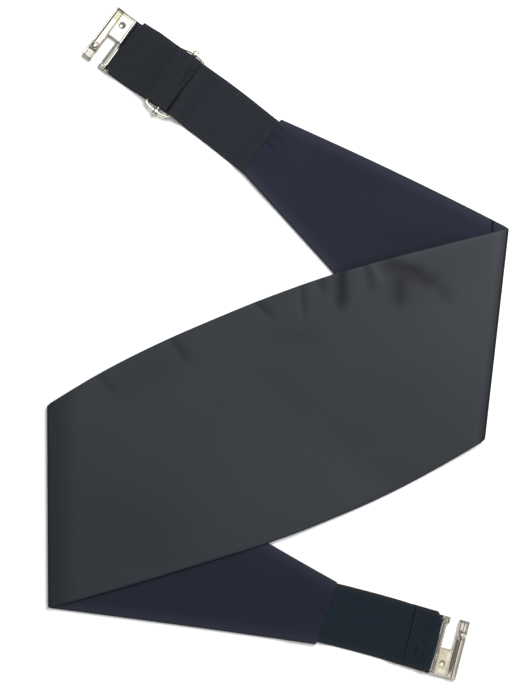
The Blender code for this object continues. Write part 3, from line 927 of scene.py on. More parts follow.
@dataclass
class ClothStrip:
    """The strip's mid-surface, from the left wing's end to the right wing's end."""

    top_bows: tuple[float, ...] = (0.0, 6.7, 10.6, 12.4, 13.1, 12.0, 8.9, 4.6, 0.0)
    bottom_bows: tuple[float, ...] = (0.0, 3.5, 6.4, 8.9, 11.0, 11.4, 9.9, 6.0, 0.0)
    front_rows: int = 150
    fold_rows: int = 14
    row_length: float = 2.1
    columns: int = 76
    roll: float = 1.15
    end_roll: float = 1.8
    end_rows: int = 6
    pocket_length: float = 13.0
    pocket_taper: float = 15.0
    points: Array = field(init=False)
    normals: Array = field(init=False)
    regions: Array = field(init=False)
    openings: Array = field(init=False)
    closings: Array = field(init=False)
    tops: Array = field(init=False)
    along: Array = field(init=False)
    across: Array = field(init=False)

    def __post_init__(self) -> None:
        """Works out the mid-surface and what belongs to its rows."""
        front = self._front()
        left, left_ends = self._wing(LEFT_WING)
        right, right_ends = self._wing(RIGHT_WING)
        left_fold = self._fold(LEFT_FOLD, front[0], left[0])
        right_fold = self._fold(RIGHT_FOLD, front[-1], right[0])
        stretches = (
            (Region.LEFT_WING, left[::-1], left_ends[::-1]),
            (Region.LEFT_FOLD, left_fold[::-1], None),
            (Region.FRONT, front, None),
            (Region.RIGHT_FOLD, right_fold, None),
            (Region.RIGHT_WING, right, right_ends),
        )
        self.points = np.concatenate([rows for _, rows, _ in stretches])
        self.regions = np.concatenate([np.full(len(r), s.value) for s, r, _ in stretches])
        from_end = np.concatenate(
            [np.full(len(r), FAR) if ends is None else ends for _, r, ends in stretches]
        )
        self.openings = LAYER * (1.0 - ease((from_end - self.pocket_length) / self.pocket_taper))
        turned = np.cos(math.pi * np.arange(1, self.fold_rows) / self.fold_rows)
        bend = np.where(turned > 0.0, turned**2, 0.0)
        plain = {Region.FRONT: 1.0, Region.LEFT_FOLD: bend[::-1], Region.RIGHT_FOLD: bend}
        self.tops = np.concatenate(
            [np.broadcast_to(plain.get(region, 0.0), len(rows)) for region, rows, _ in stretches]
        )
        left_over = 1.0 - np.clip(from_end / self.end_roll, 0.0, 1.0)
        self.closings = np.sqrt(1.0 - left_over**2)
        tangents = np.gradient(self.points, axis=0), np.gradient(self.points, axis=1)
        self.normals = unit(np.cross(*tangents))
        steps = np.linalg.norm(np.diff(self.points, axis=0), axis=-1).mean(axis=1)
        self.along = np.concatenate(((0.0,), np.cumsum(steps)))
        widths = np.linalg.norm(self.points[:, -1] - self.points[:, 0], axis=-1)
        self.across = (np.linspace(0.0, 1.0, self.columns) - 0.5) * widths[:, None]

    def _rows(self, bottom: Array, top: Array) -> Array:
        """Flat points across rows, from just inside the lower edge to the upper one.

        Args:
            bottom: The lower edge's points.
            top: The upper edge's points.

        Returns:
            Rows of flat points.
        """
        way = top - bottom
        width = np.linalg.norm(way, axis=-1)[:, None]
        inside = np.linspace(0.0, 1.0, self.columns)[None, :]
        share = (self.roll + (width - 2.0 * self.roll) * inside) / width
        return bottom[:, None] + way[:, None] * share[..., None]

    @staticmethod
    def _raised(flat: Array, height: Array | float) -> Array:
        """Flat points at their heights."""
        heights = np.broadcast_to(height, flat.shape[:2])
        return np.concatenate((flat, heights[..., None]), axis=-1)

    def _front(self) -> Array:
        """Rows of the front, between the bends of its folds.

        Returns:
            The rows' points.
        """
        share = np.linspace(0.0, 1.0, self.front_rows)
        edges = []
        for side, bows, outward in (("bottom", self.bottom_bows, -1), ("top", self.top_bows, 1)):
            start, end = getattr(LEFT_FOLD, side), getattr(RIGHT_FOLD, side)
            first, last = LEFT_FOLD.bend_share(end), 1.0 - RIGHT_FOLD.bend_share(start)
            along = first + (last - first) * share
            way = np.subtract(end, start)
            aside = outward * smooth_row(bows, along)[:, None] * left_of(unit(way))
            edges.append(np.asarray(start) + way * along[:, None] + aside)
        flat = self._rows(*edges)
        return self._raised(flat, self.front_height(flat))

    @staticmethod
    def front_height(points: Array) -> Array:
        """Height of the front's mid-surface: over a wing, or on the surface."""
        past = np.minimum(LEFT_WING.outside(points), RIGHT_WING.outside(points))
        return FLAT_HEIGHT + WING_LIFT * (1.0 - ease((past - DESCENT_START) / DESCENT_LENGTH))

    def _wing(self, wing: Wing) -> tuple[Array, Array]:
        """Rows of a wing from its fold, and how far each is from the wing's end.

        Args:
            wing: The wing.

        Returns:
            The rows' points, and the rows' distances from the end.
        """
        length = wing.length()
        plain = round((length - self.end_roll) / self.row_length)
        even = (length - self.end_roll) * np.arange(plain) / plain
        turn = np.linspace(0.0, math.pi / 2, self.end_rows + 1)
        along = np.concatenate((even, length - self.end_roll * (1.0 - np.sin(turn))))
        flat = self._rows(*wing.edges(along / length))
        return self._raised(flat, FLAT_HEIGHT), length - along

    def _fold(self, fold: Fold, front: Array, wing: Array) -> Array:
        """Rows round a fold, between the front's last row and the wing's first one.

        Args:
            fold: The fold.
            front: The front's last row of points.
            wing: The wing's first row.

        Returns:
            The rows' points, from the front to the wing.
        """
        direction = unit(np.subtract(fold.top, fold.bottom))
        outward = np.array((direction[1], -direction[0]))
        if outward @ np.asarray(fold.bottom) < 0:
            outward = -outward
        bottom = np.asarray(fold.bottom)
        front_along = front[:, :2] @ direction - bottom @ direction
        wing_along = wing[:, :2] @ direction - bottom @ direction
        share = np.arange(1, self.fold_rows)[:, None] / self.fold_rows
        angle = math.pi * share
        along = front_along + (wing_along - front_along) * share
        reach = FOLD_RADIUS * np.sin(angle) - FOLD_REACH
        flat = bottom + along[..., None] * direction + reach[..., None] * outward
        height = FLAT_HEIGHT + FOLD_RADIUS * (1.0 + np.cos(angle))
        return self._raised(flat, height)

    def in_region(self, *regions: Region) -> Array:
        """1 on the rows of these regions and 0 elsewhere."""
        return np.isin(self.regions, [region.value for region in regions]).astype(float)[:, None]

    def settled(self, start: float, length: float) -> Array:
        """How far the satin's slope off the wings lies above the strip's shorter one.

        Args:
            start: Where the satin's slope starts, past the wing's edge.
            length: How long it is.

        Returns:
            The height at the strip's points.
        """
        past = np.minimum(LEFT_WING.outside(self.points), RIGHT_WING.outside(self.points))
        height = FLAT_HEIGHT + WING_LIFT * (1.0 - ease((past - start) / length))
        return (height - self.front_height(self.points)) * self.tops[:, None]

    def pressed(self, fold: Fold, depth: float, reach: float) -> Array:
        """How far the front sinks towards a fold.

        Args:
            fold: The fold.
            depth: How far the front sinks at most.
            reach: How far inside the fold it starts to.

        Returns:
            The height at the strip's points, 0 or less.
        """
        near = 1.0 - ease((fold.inside(self.points) - FOLD_REACH) / reach)
        return -depth * near * self.tops[:, None]

    def creased(self, creases: tuple[Crease, ...], *regions: Region) -> tuple[Array, Array]:
        """How far creases raise the cloth in some regions, and the painted shade they lay on it.

        Args:
            creases: The creases.
            regions: The regions.

        Returns:
            The relief and the painted shade at the strip's points.
        """
        swells = [crease.swell(self.points) for crease in creases]
        relief = sum(crease.height * swell for crease, swell in zip(creases, swells))
        shade = sum(crease.dark * swell for crease, swell in zip(creases, swells))
        rows = self.in_region(*regions)
        return relief * rows, shade * rows


@dataclass
class ClothFace:
    """One face of the strip: a shell at a distance from the mid-surface, rolled at its
    long edges and closed onto the strap at its ends."""

    strip: ClothStrip
    name: str
    side: float
    arc: tuple[float, ...]
    shell: float
    end_distance: float
    stand_off: float = 1.15
    rim_step: float = 0.3

    def build(self, relief: Array, shade: Array, extra: Array | float) -> Object:
        """Makes the shell.

        Args:
            relief: How far creases raise the outer face at the strip's points.
            shade: How much painted shade creases lay on it there.
            extra: How much further the rows stand off the mid-surface, by row.

        Returns:
            The shell, with its wall.
        """
        strip = self.strip
        away = self.stand_off + np.broadcast_to(extra, strip.closings.shape)
        away = self.end_distance + (away - self.end_distance) * strip.closings
        outward = strip.normals * self.side
        face = strip.points + outward * (away[:, None, None] + relief[..., None])
        other = self.stand_off + (strip.openings if self.side > 0 else 0.0)
        other = np.broadcast_to(other, away.shape)
        lower = self._edge(0, 1, away + relief[:, 0], other)
        upper = self._edge(-1, -2, away + relief[:, -1], other)
        points = np.concatenate((lower, face, upper[:, ::-1]), axis=1)
        places = self._places(points, len(self.arc))
        rolled = ((0, 0), (len(self.arc), len(self.arc)))
        shade = np.pad(shade, rolled, mode="edge")
        if self.side < 0:
            points, shade = points[:, ::-1], shade[:, ::-1]
            places = {layer: flat[:, ::-1] for layer, flat in places.items()}
        made = grid_object(self.name, points, places, shades=shade)
        wall = made.modifiers.new("wall", "SOLIDIFY")
        wall.thickness = self.shell * MM
        wall.offset = -1.0
        apply_modifiers(made)
        return made

    def _edge(self, edge: int, inner: int, away: Array, other: Array) -> Array:
        """The roll round one long edge, from its hidden end to the outer face.

        Args:
            edge: The number of the outermost column of the strip's points.
            inner: The number of the next column.
            away: How far the face stands off the mid-surface, by row.
            other: How far the hidden end of the roll does.

        Returns:
            The roll's points, by row.
        """
        strip = self.strip
        start = strip.points[:, edge]
        outward = unit(start - strip.points[:, inner])
        normal = strip.normals[:, edge] * self.side
        columns = []
        for degrees in self.arc:
            angle = math.radians(degrees)
            reach, rise = strip.roll * math.cos(angle), math.sin(angle)
            height = rise * (away if rise > 0 else other)
            columns.append(start + outward * reach + normal * height[:, None])
        return np.stack(columns, axis=1)

    def _places(self, points: Array, rolled: int) -> dict[str, Array]:
        """Places across and along for the cloth map, and from the long edges for the rim map, which
        places the lining's painted glow.

        Args:
            points: The face's points.
            rolled: How many columns each roll has.

        Returns:
            The places for each map, by its name.
        """
        strip = self.strip
        rim = np.arange(rolled, 0, -1) * self.rim_step
        low = strip.across[:, :1] - rim[None, :]
        high = strip.across[:, -1:] + rim[None, ::-1]
        across = np.concatenate((low, strip.across, high), axis=1)
        along = np.broadcast_to(strip.along[:, None], across.shape)
        from_rim = np.maximum(strip.across[:, -1:] - np.abs(across), 0.0)
        layers = {"cloth": across, "rim": from_rim}
        return {layer: np.stack((values, along), axis=-1) for layer, values in layers.items()}


@dataclass
class SatinFront:
    """The satin: on top between the folds, and against the surface under the wings."""

    strip: ClothStrip
    finish: SatinFinish = SatinFinish()
    arc: tuple[float, ...] = (-35.0, -15.0, 5.0, 25.0, 45.0, 62.0, 77.0)
    shell: float = 0.35
    end_distance: float = 0.22
    # Creases of the front. Their dark values are painted shade; those of height 0 are painted shade
    # alone, and a dark value below 0 takes shade away.
    creases: tuple[Crease, ...] = (
        Crease((-108.0, -18.3), (-99.0, -30.9), 2.4, -0.25, 0.30, True),
        Crease((-63.0, 0.3), (-54.0, -12.9), 3.0, -0.30, 0.35, True),
        Crease((-13.8, 24.9), (-3.0, 15.3), 1.9, -0.45, 0.65, True),
        Crease((14.1, 33.0), (15.6, 15.3), 1.5, -0.35, 0.55, True),
        Crease((24.6, 38.0), (27.0, 28.5), 3.2, -0.35, 0.45, True),
        Crease((36.8, 42.0), (37.2, 18.0), 3.9, -0.60, 1.22, True),
        Crease((54.0, 39.0), (55.5, 28.0), 3.0, -0.20, 0.50, True),
        Crease((56.6, 44.5), (62.4, 33.6), 1.5, 0.22, -0.30, True),
        Crease((61.0, 48.0), (86.0, 40.5), 4.8, -0.32, 1.22),
        Crease((71.5, 42.0), (72.5, 20.0), 4.5, -0.20, 0.80),
        Crease((60.0, 32.0), (108.0, 36.0), 14.0, -0.08, 0.32),
        Crease((-104.0, -30.0), (-52.0, -4.0), 11.0, -0.05, 0.22),
        Crease((79.0, 43.0), (93.0, 34.5), 4.6, -0.20, 0.68),
        Crease((84.0, 50.0), (134.0, 54.0), 12.0, 0.0, 0.22),
        Crease((-96.0, -50.0), (30.0, -40.0), 34.0, 0.0, 0.10),
        Crease((90.0, 40.0), (104.4, 21.3), 4.6, -0.20, 0.30),
        Crease((-6.0, 2.1), (26.4, 2.1), 5.0, -0.12, 0.22),
        Crease((-118.0, -98.0), (-44.0, -116.0), 19.0, -0.10, 0.14),
        Crease((-96.0, -126.0), (-60.0, -130.0), 5.0, -0.12, 0.16),
    )
    # Creases of the satin under the wings; their dark values are painted shade.
    wing_creases: tuple[Crease, ...] = (
        Crease((-126.0, -60.0), (-60.0, -120.0), 6.0, -0.12, 0.25),
        Crease((-30.0, -134.0), (20.0, -150.0), 4.0, -0.10, 0.30),
        Crease((112.0, 20.0), (60.0, 78.0), 6.5, -0.12, 0.25),
        Crease((40.0, 92.0), (4.0, 112.0), 4.0, -0.10, 0.30),
        Crease((24.0, -152.0), (2.0, -150.0), 1.6, -0.10, 0.35),
        Crease((-10.0, 116.0), (10.0, 104.0), 1.6, -0.10, 0.35),
    )
    ripples: tuple[Ripple, ...] = (
        Ripple(148.0, 24.0, 0.6, 0.045),
        Ripple(83.0, 78.0, 2.1, 0.030),
        Ripple(61.0, 141.0, 4.4, 0.022),
    )
    left_press: Flat = (0.85, 15.0)
    right_press: Flat = (0.5, 5.0)
    slope_start: float = -30.0
    slope_length: float = 112.0
    deepest: float = -1.15

    def build(self) -> Object:
        """The satin's shell, dressed, in place of the frame's part and attached to the garment's
        body.

        Returns:
            The satin.
        """
        strip = self.strip
        relief, shade = strip.creased(self.creases, Region.FRONT)
        below, shade_below = strip.creased(self.wing_creases, Region.LEFT_WING, Region.RIGHT_WING)
        waves = sum(ripple.relief(strip.points) for ripple in self.ripples)
        relief = relief + below + waves * strip.tops[:, None]
        relief = relief + strip.pressed(LEFT_FOLD, *self.left_press)
        relief = relief + strip.pressed(RIGHT_FOLD, *self.right_press)
        relief = relief + strip.settled(self.slope_start, self.slope_length)
        relief = np.maximum(relief, self.deepest)
        face = ClothFace(strip, "satin_cloth", 1.0, self.arc, self.shell, self.end_distance)
        made = face.build(relief, shade + shade_below, 0.0)
        made.data.materials.append(self.finish.material())
        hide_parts("satin_front")
        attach(made, Body.GARMENT.value)
        return made


@dataclass
class Lining:
    """The lining: on top on both wings, and against the surface under the front."""

    strip: ClothStrip
    finish: LiningFinish = LiningFinish()
    arc: tuple[float, ...] = (50.0, 57.0, 66.0, 78.0)
    shell: float = 0.35
    end_distance: float = 1.55
    # Creases of the lining on the wings; their dark values are painted shade.
    creases: tuple[Crease, ...] = (
        Crease((-9.0, 122.0), (-1.0, 116.0), 0.9, -0.22, 0.55, True),
        Crease((-5.4, 127.0), (3.0, 121.0), 0.9, -0.20, 0.50, True),
        Crease((-2.4, 131.0), (5.4, 126.0), 0.9, -0.18, 0.45, True),
        Crease((20.0, 112.0), (70.0, 92.0), 5.0, -0.10, 0.12),
        Crease((60.0, 62.0), (110.0, 66.0), 5.0, -0.10, 0.15),
        Crease((29.6, -161.0), (20.0, -158.0), 1.0, -0.15, 0.35, True),
        Crease((32.0, -151.0), (22.0, -150.0), 1.0, -0.12, 0.30, True),
        Crease((-60.0, -160.0), (0.0, -150.0), 5.0, -0.08, 0.10),
    )
    # Creases of the lining under the front; their dark values are painted shade.
    front_creases: tuple[Crease, ...] = (
        Crease((-90.0, -60.0), (-20.0, -96.0), 7.0, -0.10, 0.20),
        Crease((10.0, 10.0), (80.0, -30.0), 8.0, -0.10, 0.20),
        Crease((40.0, 36.0), (46.0, 4.0), 3.5, -0.10, 0.25),
    )
    ripples: tuple[Ripple, ...] = (
        Ripple(97.0, 31.0, 1.3, 0.06),
        Ripple(58.0, 118.0, 0.4, 0.05),
    )
    sunk: float = 0.11

    def build(self) -> Object:
        """The lining's shell, dressed, in place of the frame's part and attached to the garment's
        body.

        Returns:
            The lining.
        """
        strip = self.strip
        wings = Region.LEFT_WING, Region.RIGHT_WING
        waves = sum(ripple.relief(strip.points) for ripple in self.ripples) - self.sunk
        relief, shade = strip.creased(self.creases, *wings)
        below, shade_below = strip.creased(self.front_creases, Region.FRONT)
        relief = relief + below + waves * strip.in_region(*wings)
        face = ClothFace(strip, "lining_cloth", -1.0, self.arc, self.shell, self.end_distance)
        made = face.build(relief, shade + shade_below, strip.openings)
        made.data.materials.append(self.finish.material())
        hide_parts("lining_back")
        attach(made, Body.GARMENT.value)
        return made


# ---- Elastic straps ----
WIRE_RADIUS = 0.8
SLIDER_RAIL = 8.2
SLIDER_ASIDE = 0.3
ON_SURFACE = ELASTIC_THICKNESS / 2
ON_ELASTIC = ON_SURFACE + ELASTIC_THICKNESS + SEAM_GAP
IN_POCKET = SATIN_THICKNESS + SEAM_GAP + ELASTIC_THICKNESS / 2
WRAP_RADIUS = 1.6
SLIDER_HEIGHT = ON_ELASTIC + WRAP_RADIUS
HOOK_LOOP_RADIUS = 1.4
HOOK_HEIGHT = ON_SURFACE + HOOK_LOOP_RADIUS
HOOK_INSIDE = 16.5
STRAP_TUCK = 11.0
STEP_DOWN = 9.0

Path = list[Flat]


def level(start: float, end: float, height: float) -> Path:
    """A level stretch of a strap's path."""
    return [(start, height), (end, height)]


def slope(start: float, end: float, low: float, high: float) -> Path:
    """A soft rise or fall of a strap's path.

    Args:
        start: Distance at which it starts.
        end: Distance at which it ends.
        low: Height at the start.
        high: Height at the end.

    Returns:
        The stretch's points.
    """
    shares = np.linspace(0.0, 1.0, 17)
    return [(start + (end - start) * s, low + (high - low) * float(ease(s))) for s in shares]


def turn(centre: Flat, radius: float, start: float, end: float, bulge: float = 1.0) -> Path:
    """An arc of a strap's path about a centre, between two angles. Below 1, bulge makes it
    squarer.

    Args:
        centre: The arc's centre, as distance and height.
        radius: Its radius.
        start: Its first angle in degrees.
        end: Its last angle.
        bulge: 1 for a round arc, and less for a squarer one.

    Returns:
        The arc's points.
    """
    points = []
    for angle in np.radians(np.linspace(start, end, 33)):
        x, z = math.cos(angle), math.sin(angle)
        x, z = math.copysign(abs(x) ** bulge, x), math.copysign(abs(z) ** bulge, z)
        points.append((centre[0] + radius * x, centre[1] + radius * z))
    return points


@dataclass
class Strap:
    """A strap's lie in the layout: its middle line, its sides and its path."""

    start: Flat
    start_angle: float
    bar: Flat
    bar_angle: float
    aside: float
    bow: float
    half_width: float
    slider_at: float | None = None
    at_slider: float = 18.4
    squeeze: float = 16.0
    loop_clearance: float = 0.25
    shoulder_start: float = 0.5
    corners: Flat = (1.4, 1.2)
    taper: Flat = (0.0, 0.0)
    taper_length: float = 12.0

    @property
    def end(self) -> Array:
        """Where the middle line crosses the line of the hook's bar."""
        return np.asarray(self.bar) + left_of(heading(self.bar_angle)) * self.aside

    @property
    def length(self) -> float:
        """Distance from the wing's end to the line of the hook's bar."""
        return float(np.linalg.norm(self.end - self.start))

    def frames(self, distance: Array) -> tuple[Array, Array]:
        """Points of the middle line at distances along the strap, and the headings there.

        Args:
            distance: Distances from the wing's end.

        Returns:
            The points, and the unit headings.
        """
        start, end = np.asarray(self.start), self.end
        leave = heading(self.start_angle) * self.length
        arrive = heading(self.bar_angle) * self.length
        aside = left_of(unit(end - start)) * self.bow
        s = (distance / self.length)[:, None]
        t = np.clip(s, 0.0, 1.0)
        rest = 1.0 - t
        place = start * (1.0 + 2.0 * t) * rest**2 + end * t**2 * (3.0 - 2.0 * t)
        place = place + leave * t * rest**2 - arrive * t**2 * rest + aside * 16.0 * t**2 * rest**2
        place = place + leave * np.minimum(s, 0.0) + arrive * np.maximum(s - 1.0, 0.0)
        way = (end - start) * 6.0 * t * rest + leave * rest * (1.0 - 3.0 * t)
        way = way + arrive * t * (3.0 * t - 2.0) + aside * 32.0 * t * rest * (rest - t)
        return place, unit(way)

    def sides(self, distance: Array) -> tuple[Array, Array]:
        """How far the strap reaches to the left and right of its middle line.

        Args:
            distance: Distances from the wing's end.

        Returns:
            The reach to the left and the reach to the right.
        """
        half = np.full(len(distance), self.half_width)
        if self.slider_at is not None:
            away = np.abs(distance - self.slider_at) - SLIDER_RAIL
            half = self.at_slider + (half - self.at_slider) * ease(away / self.squeeze)
        drawn_in = HOOK_INSIDE - self.loop_clearance
        from_bar = self.length - distance
        widths = []
        inside = (drawn_in - self.aside, drawn_in + self.aside)
        for inner, corner, taper in zip(inside, self.corners, self.taper):
            wide = half - taper * (1.0 - np.clip(from_bar / self.taper_length, 0.0, 1.0))
            left_over = 1.0 - np.clip((from_bar - self.shoulder_start) / corner, 0.0, 1.0)
            widths.append(inner + (wide - inner) * np.sqrt(1.0 - left_over**2))
        return widths[0], widths[1]


UPPER_STRAP = Strap(
    start=(-10.8, 118.2),
    start_angle=140.5,
    bar=(-92.5, 176.9),
    bar_angle=143.0,
    aside=-1.3,
    bow=-0.6,
    half_width=19.0,
    slider_at=63.3,
    corners=(1.4, 0.45),
    taper=(0.0, 1.0),
)
LOWER_STRAP = Strap(
    start=(29.6, -161.5),
    start_angle=-15.4,
    bar=(93.3, -180.1),
    bar_angle=-14.4,
    aside=0.9,
    bow=0.5,
    half_width=18.6,
    corners=(2.1, 1.4),
)
STITCH_BACK = 15.4
# Painted shadows on the upper strap: the crevice across the strap at the slider and the dark lines
# where the elastic passes round the slider's end. The last, wide band darkens the strap towards the
# hook's end.
SLIDER_LINES = (
    Line((-66.0, 139.3), (-56.0, 154.2), 0.85, 0.75),
    Line((-59.2, 154.3), (-52.8, 164.1), 0.42, 0.7),
    Line((-55.8, 154.3), (-50.2, 161.1), 0.42, 0.8),
    Line((-52.8, 164.1), (-50.2, 162.8), 0.42, 0.7),
    Line((-57.8, 152.0), (-100.0, 182.0), 19.0, 0.17),
)
# The lower strap's elastic: a darker, bluer copy of the elastic with stronger painted light along
# its edges. Its darkness is partly painted shade, as the light falls off towards the bottom; its
# two lines are dark marks at the stitching.
LOWER_ELASTIC = ElasticFinish(
    colour=(0.0085, 0.0150, 0.0235),
    deep=(0.0036, 0.0078, 0.0135),
    specular=0.12,
    rim=(0.0145, 0.0175, 0.0210),
    rim_glow=0.95,
    lines=(
        Line((82.9, -156.6), (75.0, -191.8), 0.5, 0.8),
        Line((83.6, -181.8), (81.9, -186.9), 0.45, 0.75),
    ),
    name="lower_elastic_weave",
)


def pocket_path() -> Path:
    """A strap from inside the wing's end down to the surface."""
    return level(-STRAP_TUCK, 1.0, IN_POCKET) + slope(1.0, STEP_DOWN, IN_POCKET, ON_SURFACE)


def lower_path(bar: float, tail: float = 18.0) -> Path:
    """The lower strap: over its own tail, round the hook's bar and back under.

    Args:
        bar: Distance along the strap to the hook's bar.
        tail: How far the strap's end lies before the bar.

    Returns:
        The path as (distance, height) pairs.
    """
    tail_end = bar - tail
    over = HOOK_HEIGHT + HOOK_LOOP_RADIUS
    path = pocket_path() + slope(tail_end - 10.0, tail_end - 1.0, ON_SURFACE, ON_ELASTIC)
    path += slope(bar - 8.0, bar - 1.0, ON_ELASTIC, over)
    path += turn((bar, HOOK_HEIGHT), HOOK_LOOP_RADIUS, 90.0, -90.0)
    return path + level(bar, tail_end, ON_SURFACE)


def upper_path(
    bar: float,
    middle: float,
    tail: float = 15.5,
    landing: float = 0.6,
    slack: float = 3.6,
    foot_radius: float = 1.6,
) -> Path:
    """The upper strap: over the slider's near rail and under its bar, round the hook's
    bar, back over the slider's far rail and loosely round its bar.

    Args:
        bar: Distance along the strap to the hook's bar.
        middle: Distance to the slider's bar.
        tail: How far past the slider's bar the strap's end lies.
        landing: Length of the level stretch beside a rail.
        slack: How far the loop stands off the slider's bar.
        foot_radius: Radius of the bend where the strap meets the surface again.

    Returns:
        The path as (distance, height) pairs.
    """
    near_rail = (middle - SLIDER_RAIL, SLIDER_HEIGHT)
    far_rail = middle + SLIDER_RAIL + landing
    foot = (near_rail[0] + WRAP_RADIUS + foot_radius, ON_SURFACE + foot_radius)
    loop_end = (middle - slack, SLIDER_HEIGHT)
    over = SLIDER_HEIGHT + WRAP_RADIUS
    tail_end = middle + tail
    path = pocket_path()
    path += slope(near_rail[0] - 12.5, near_rail[0] - landing, ON_SURFACE, over)
    path += turn(near_rail, WRAP_RADIUS, 90.0, 0.0, 0.45)
    path += turn(foot, foot_radius, 180.0, 270.0)
    path += turn((bar, HOOK_HEIGHT), HOOK_LOOP_RADIUS, -90.0, 90.0)
    path += slope(bar - 1.0, bar - 8.0, HOOK_HEIGHT + HOOK_LOOP_RADIUS, ON_ELASTIC)
    path += slope(tail_end + 7.0, tail_end - 0.8, ON_ELASTIC, ON_ELASTIC + LAYER)
    path += slope(tail_end - 0.8, far_rail, ON_ELASTIC + LAYER, over)
    path += turn(loop_end, WRAP_RADIUS, 90.0, 270.0, 0.45)
    return path + level(loop_end[0], tail_end, ON_ELASTIC)


@dataclass
class ElasticBand:
    """A strap of woven elastic with rounded, looped edges."""

    name: str
    node: str
    strap: Strap
    path: Path
    flat: Flat
    finish: ElasticFinish = ElasticFinish()
    groove: Point = (0.0, 0.0, 1.0)
    loop_skew: tuple[Flat, ...] = ((-1.0, 0.0), (1.0, 0.0))
    upper_shift: float = 0.0
    step: float = 0.32
    cells: int = 24
    edge_steps: int = 4
    loop_pitch: float = 1.1
    loop_reach: float = 0.13
    skew_reach: float = 4.5
    map_half: float = 19.0

    def build(self) -> Object:
        """The band, dressed, in place of the frame's part and attached to the garment's body.

        Returns:
            The band.
        """
        stations, along = self._stations()
        place, way = self.strap.frames(stations[:, 0])
        left, right = self.strap.sides(stations[:, 0])
        tangent = unit(np.gradient(stations, axis=0))
        across = np.concatenate((left_of(way), np.zeros((len(way), 1))), axis=1)
        forward = np.concatenate((way, np.zeros((len(way), 1))), axis=1)
        upright = np.array((0.0, 0.0, 1.0))
        normal = tangent[:, :1] * upright - tangent[:, 1:] * forward
        outward = np.arange(len(stations)) < int(np.argmax(stations[:, 0]))
        at, depth, width = self.groove
        dent = depth * np.exp(-(((stations[:, 0] - at) / width) ** 2)) * outward
        rise = stations[:, 1:] - dent[:, None]
        centre = np.concatenate((place, rise), axis=1)
        loops = self.loop_reach * np.abs(np.sin(math.pi * along / self.loop_pitch))
        back = np.where(outward, 0.0, ease((stations[:, 1] - ON_SURFACE) / LAYER))
        from_loop = (stations[:, 0] - stations[~outward, 0].min()) / self.skew_reach
        near_loop = np.exp(-(from_loop**2)) * back
        aside, height, places, skews = [], [], [], []
        for offset, rise, edge, reach in self._section():
            half = np.where(edge < 0, right, left) - self.loop_reach + loops
            sideways = edge * (half - ELASTIC_THICKNESS / 2) + offset
            aside.append(sideways + self.upper_shift * back)
            skews.append(np.interp(edge, *zip(*self.loop_skew)) * near_loop)
            height.append(np.full(len(along), rise))
            places.append(edge * self.map_half + reach)
        aside, height = np.stack(aside, axis=1), np.stack(height, axis=1)
        points = centre[:, None] + across[:, None] * aside[..., None]
        points = points + normal[:, None] * height[..., None]
        points = points + forward[:, None] * np.stack(skews, axis=1)[..., None]
        spread = np.broadcast_to(np.asarray(places)[None, :], aside.shape)
        lengths = np.broadcast_to(along[:, None], aside.shape)
        maps = {"cloth": np.stack((spread, lengths), axis=-1)}
        made = grid_object(self.name, points, maps, closed=True)
        made.data.materials.append(self.finish.material())
        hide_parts(self.node)
        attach(made, Body.GARMENT.value)
        log.info("%s: %.0f mm along its path", self.name, along[-1])
        return made

    def _stations(self) -> tuple[Array, Array]:
        """Evenly spaced (distance, height) points of the path, and how far along each is.

        Returns:
            The stations, and their distances along the path.
        """
        path = np.asarray(self.path)
        keep = np.linalg.norm(np.diff(path, axis=0), axis=1) > 1e-6
        path = path[np.concatenate(((True,), keep))]
        run = np.concatenate(((0.0,), np.cumsum(np.linalg.norm(np.diff(path, axis=0), axis=1))))
        along = np.linspace(0.0, run[-1], round(run[-1] / self.step) + 1)
        columns = [np.interp(along, run, path[:, axis]) for axis in (0, 1)]
        return np.stack(columns, axis=1), along

    def _section(self) -> list[tuple[float, float, float, float]]:
        """Points round the section: sideways offset, rise, share of the way to the left
        edge (-1 to 1), and how far round the edge the point is.

        Returns:
            The points, in order round the section.
        """
        half = ELASTIC_THICKNESS / 2
        flat = np.linspace(-1.0, 1.0, self.cells + 1)
        round_edge = np.linspace(90.0, -90.0, self.edge_steps + 2)[1:-1]
        points = [(0.0, half, float(share), 0.0) for share in flat]
        for degrees in round_edge:
            angle = math.radians(degrees)
            points.append((half * math.cos(angle), half * math.sin(angle), 1.0, 0.4))
        points += [(0.0, -half, float(share), 0.0) for share in flat[::-1]]
        for degrees in round_edge[::-1]:
            angle = math.radians(degrees)
            points.append((-half * math.cos(angle), half * math.sin(angle), -1.0, -0.4))
        return points


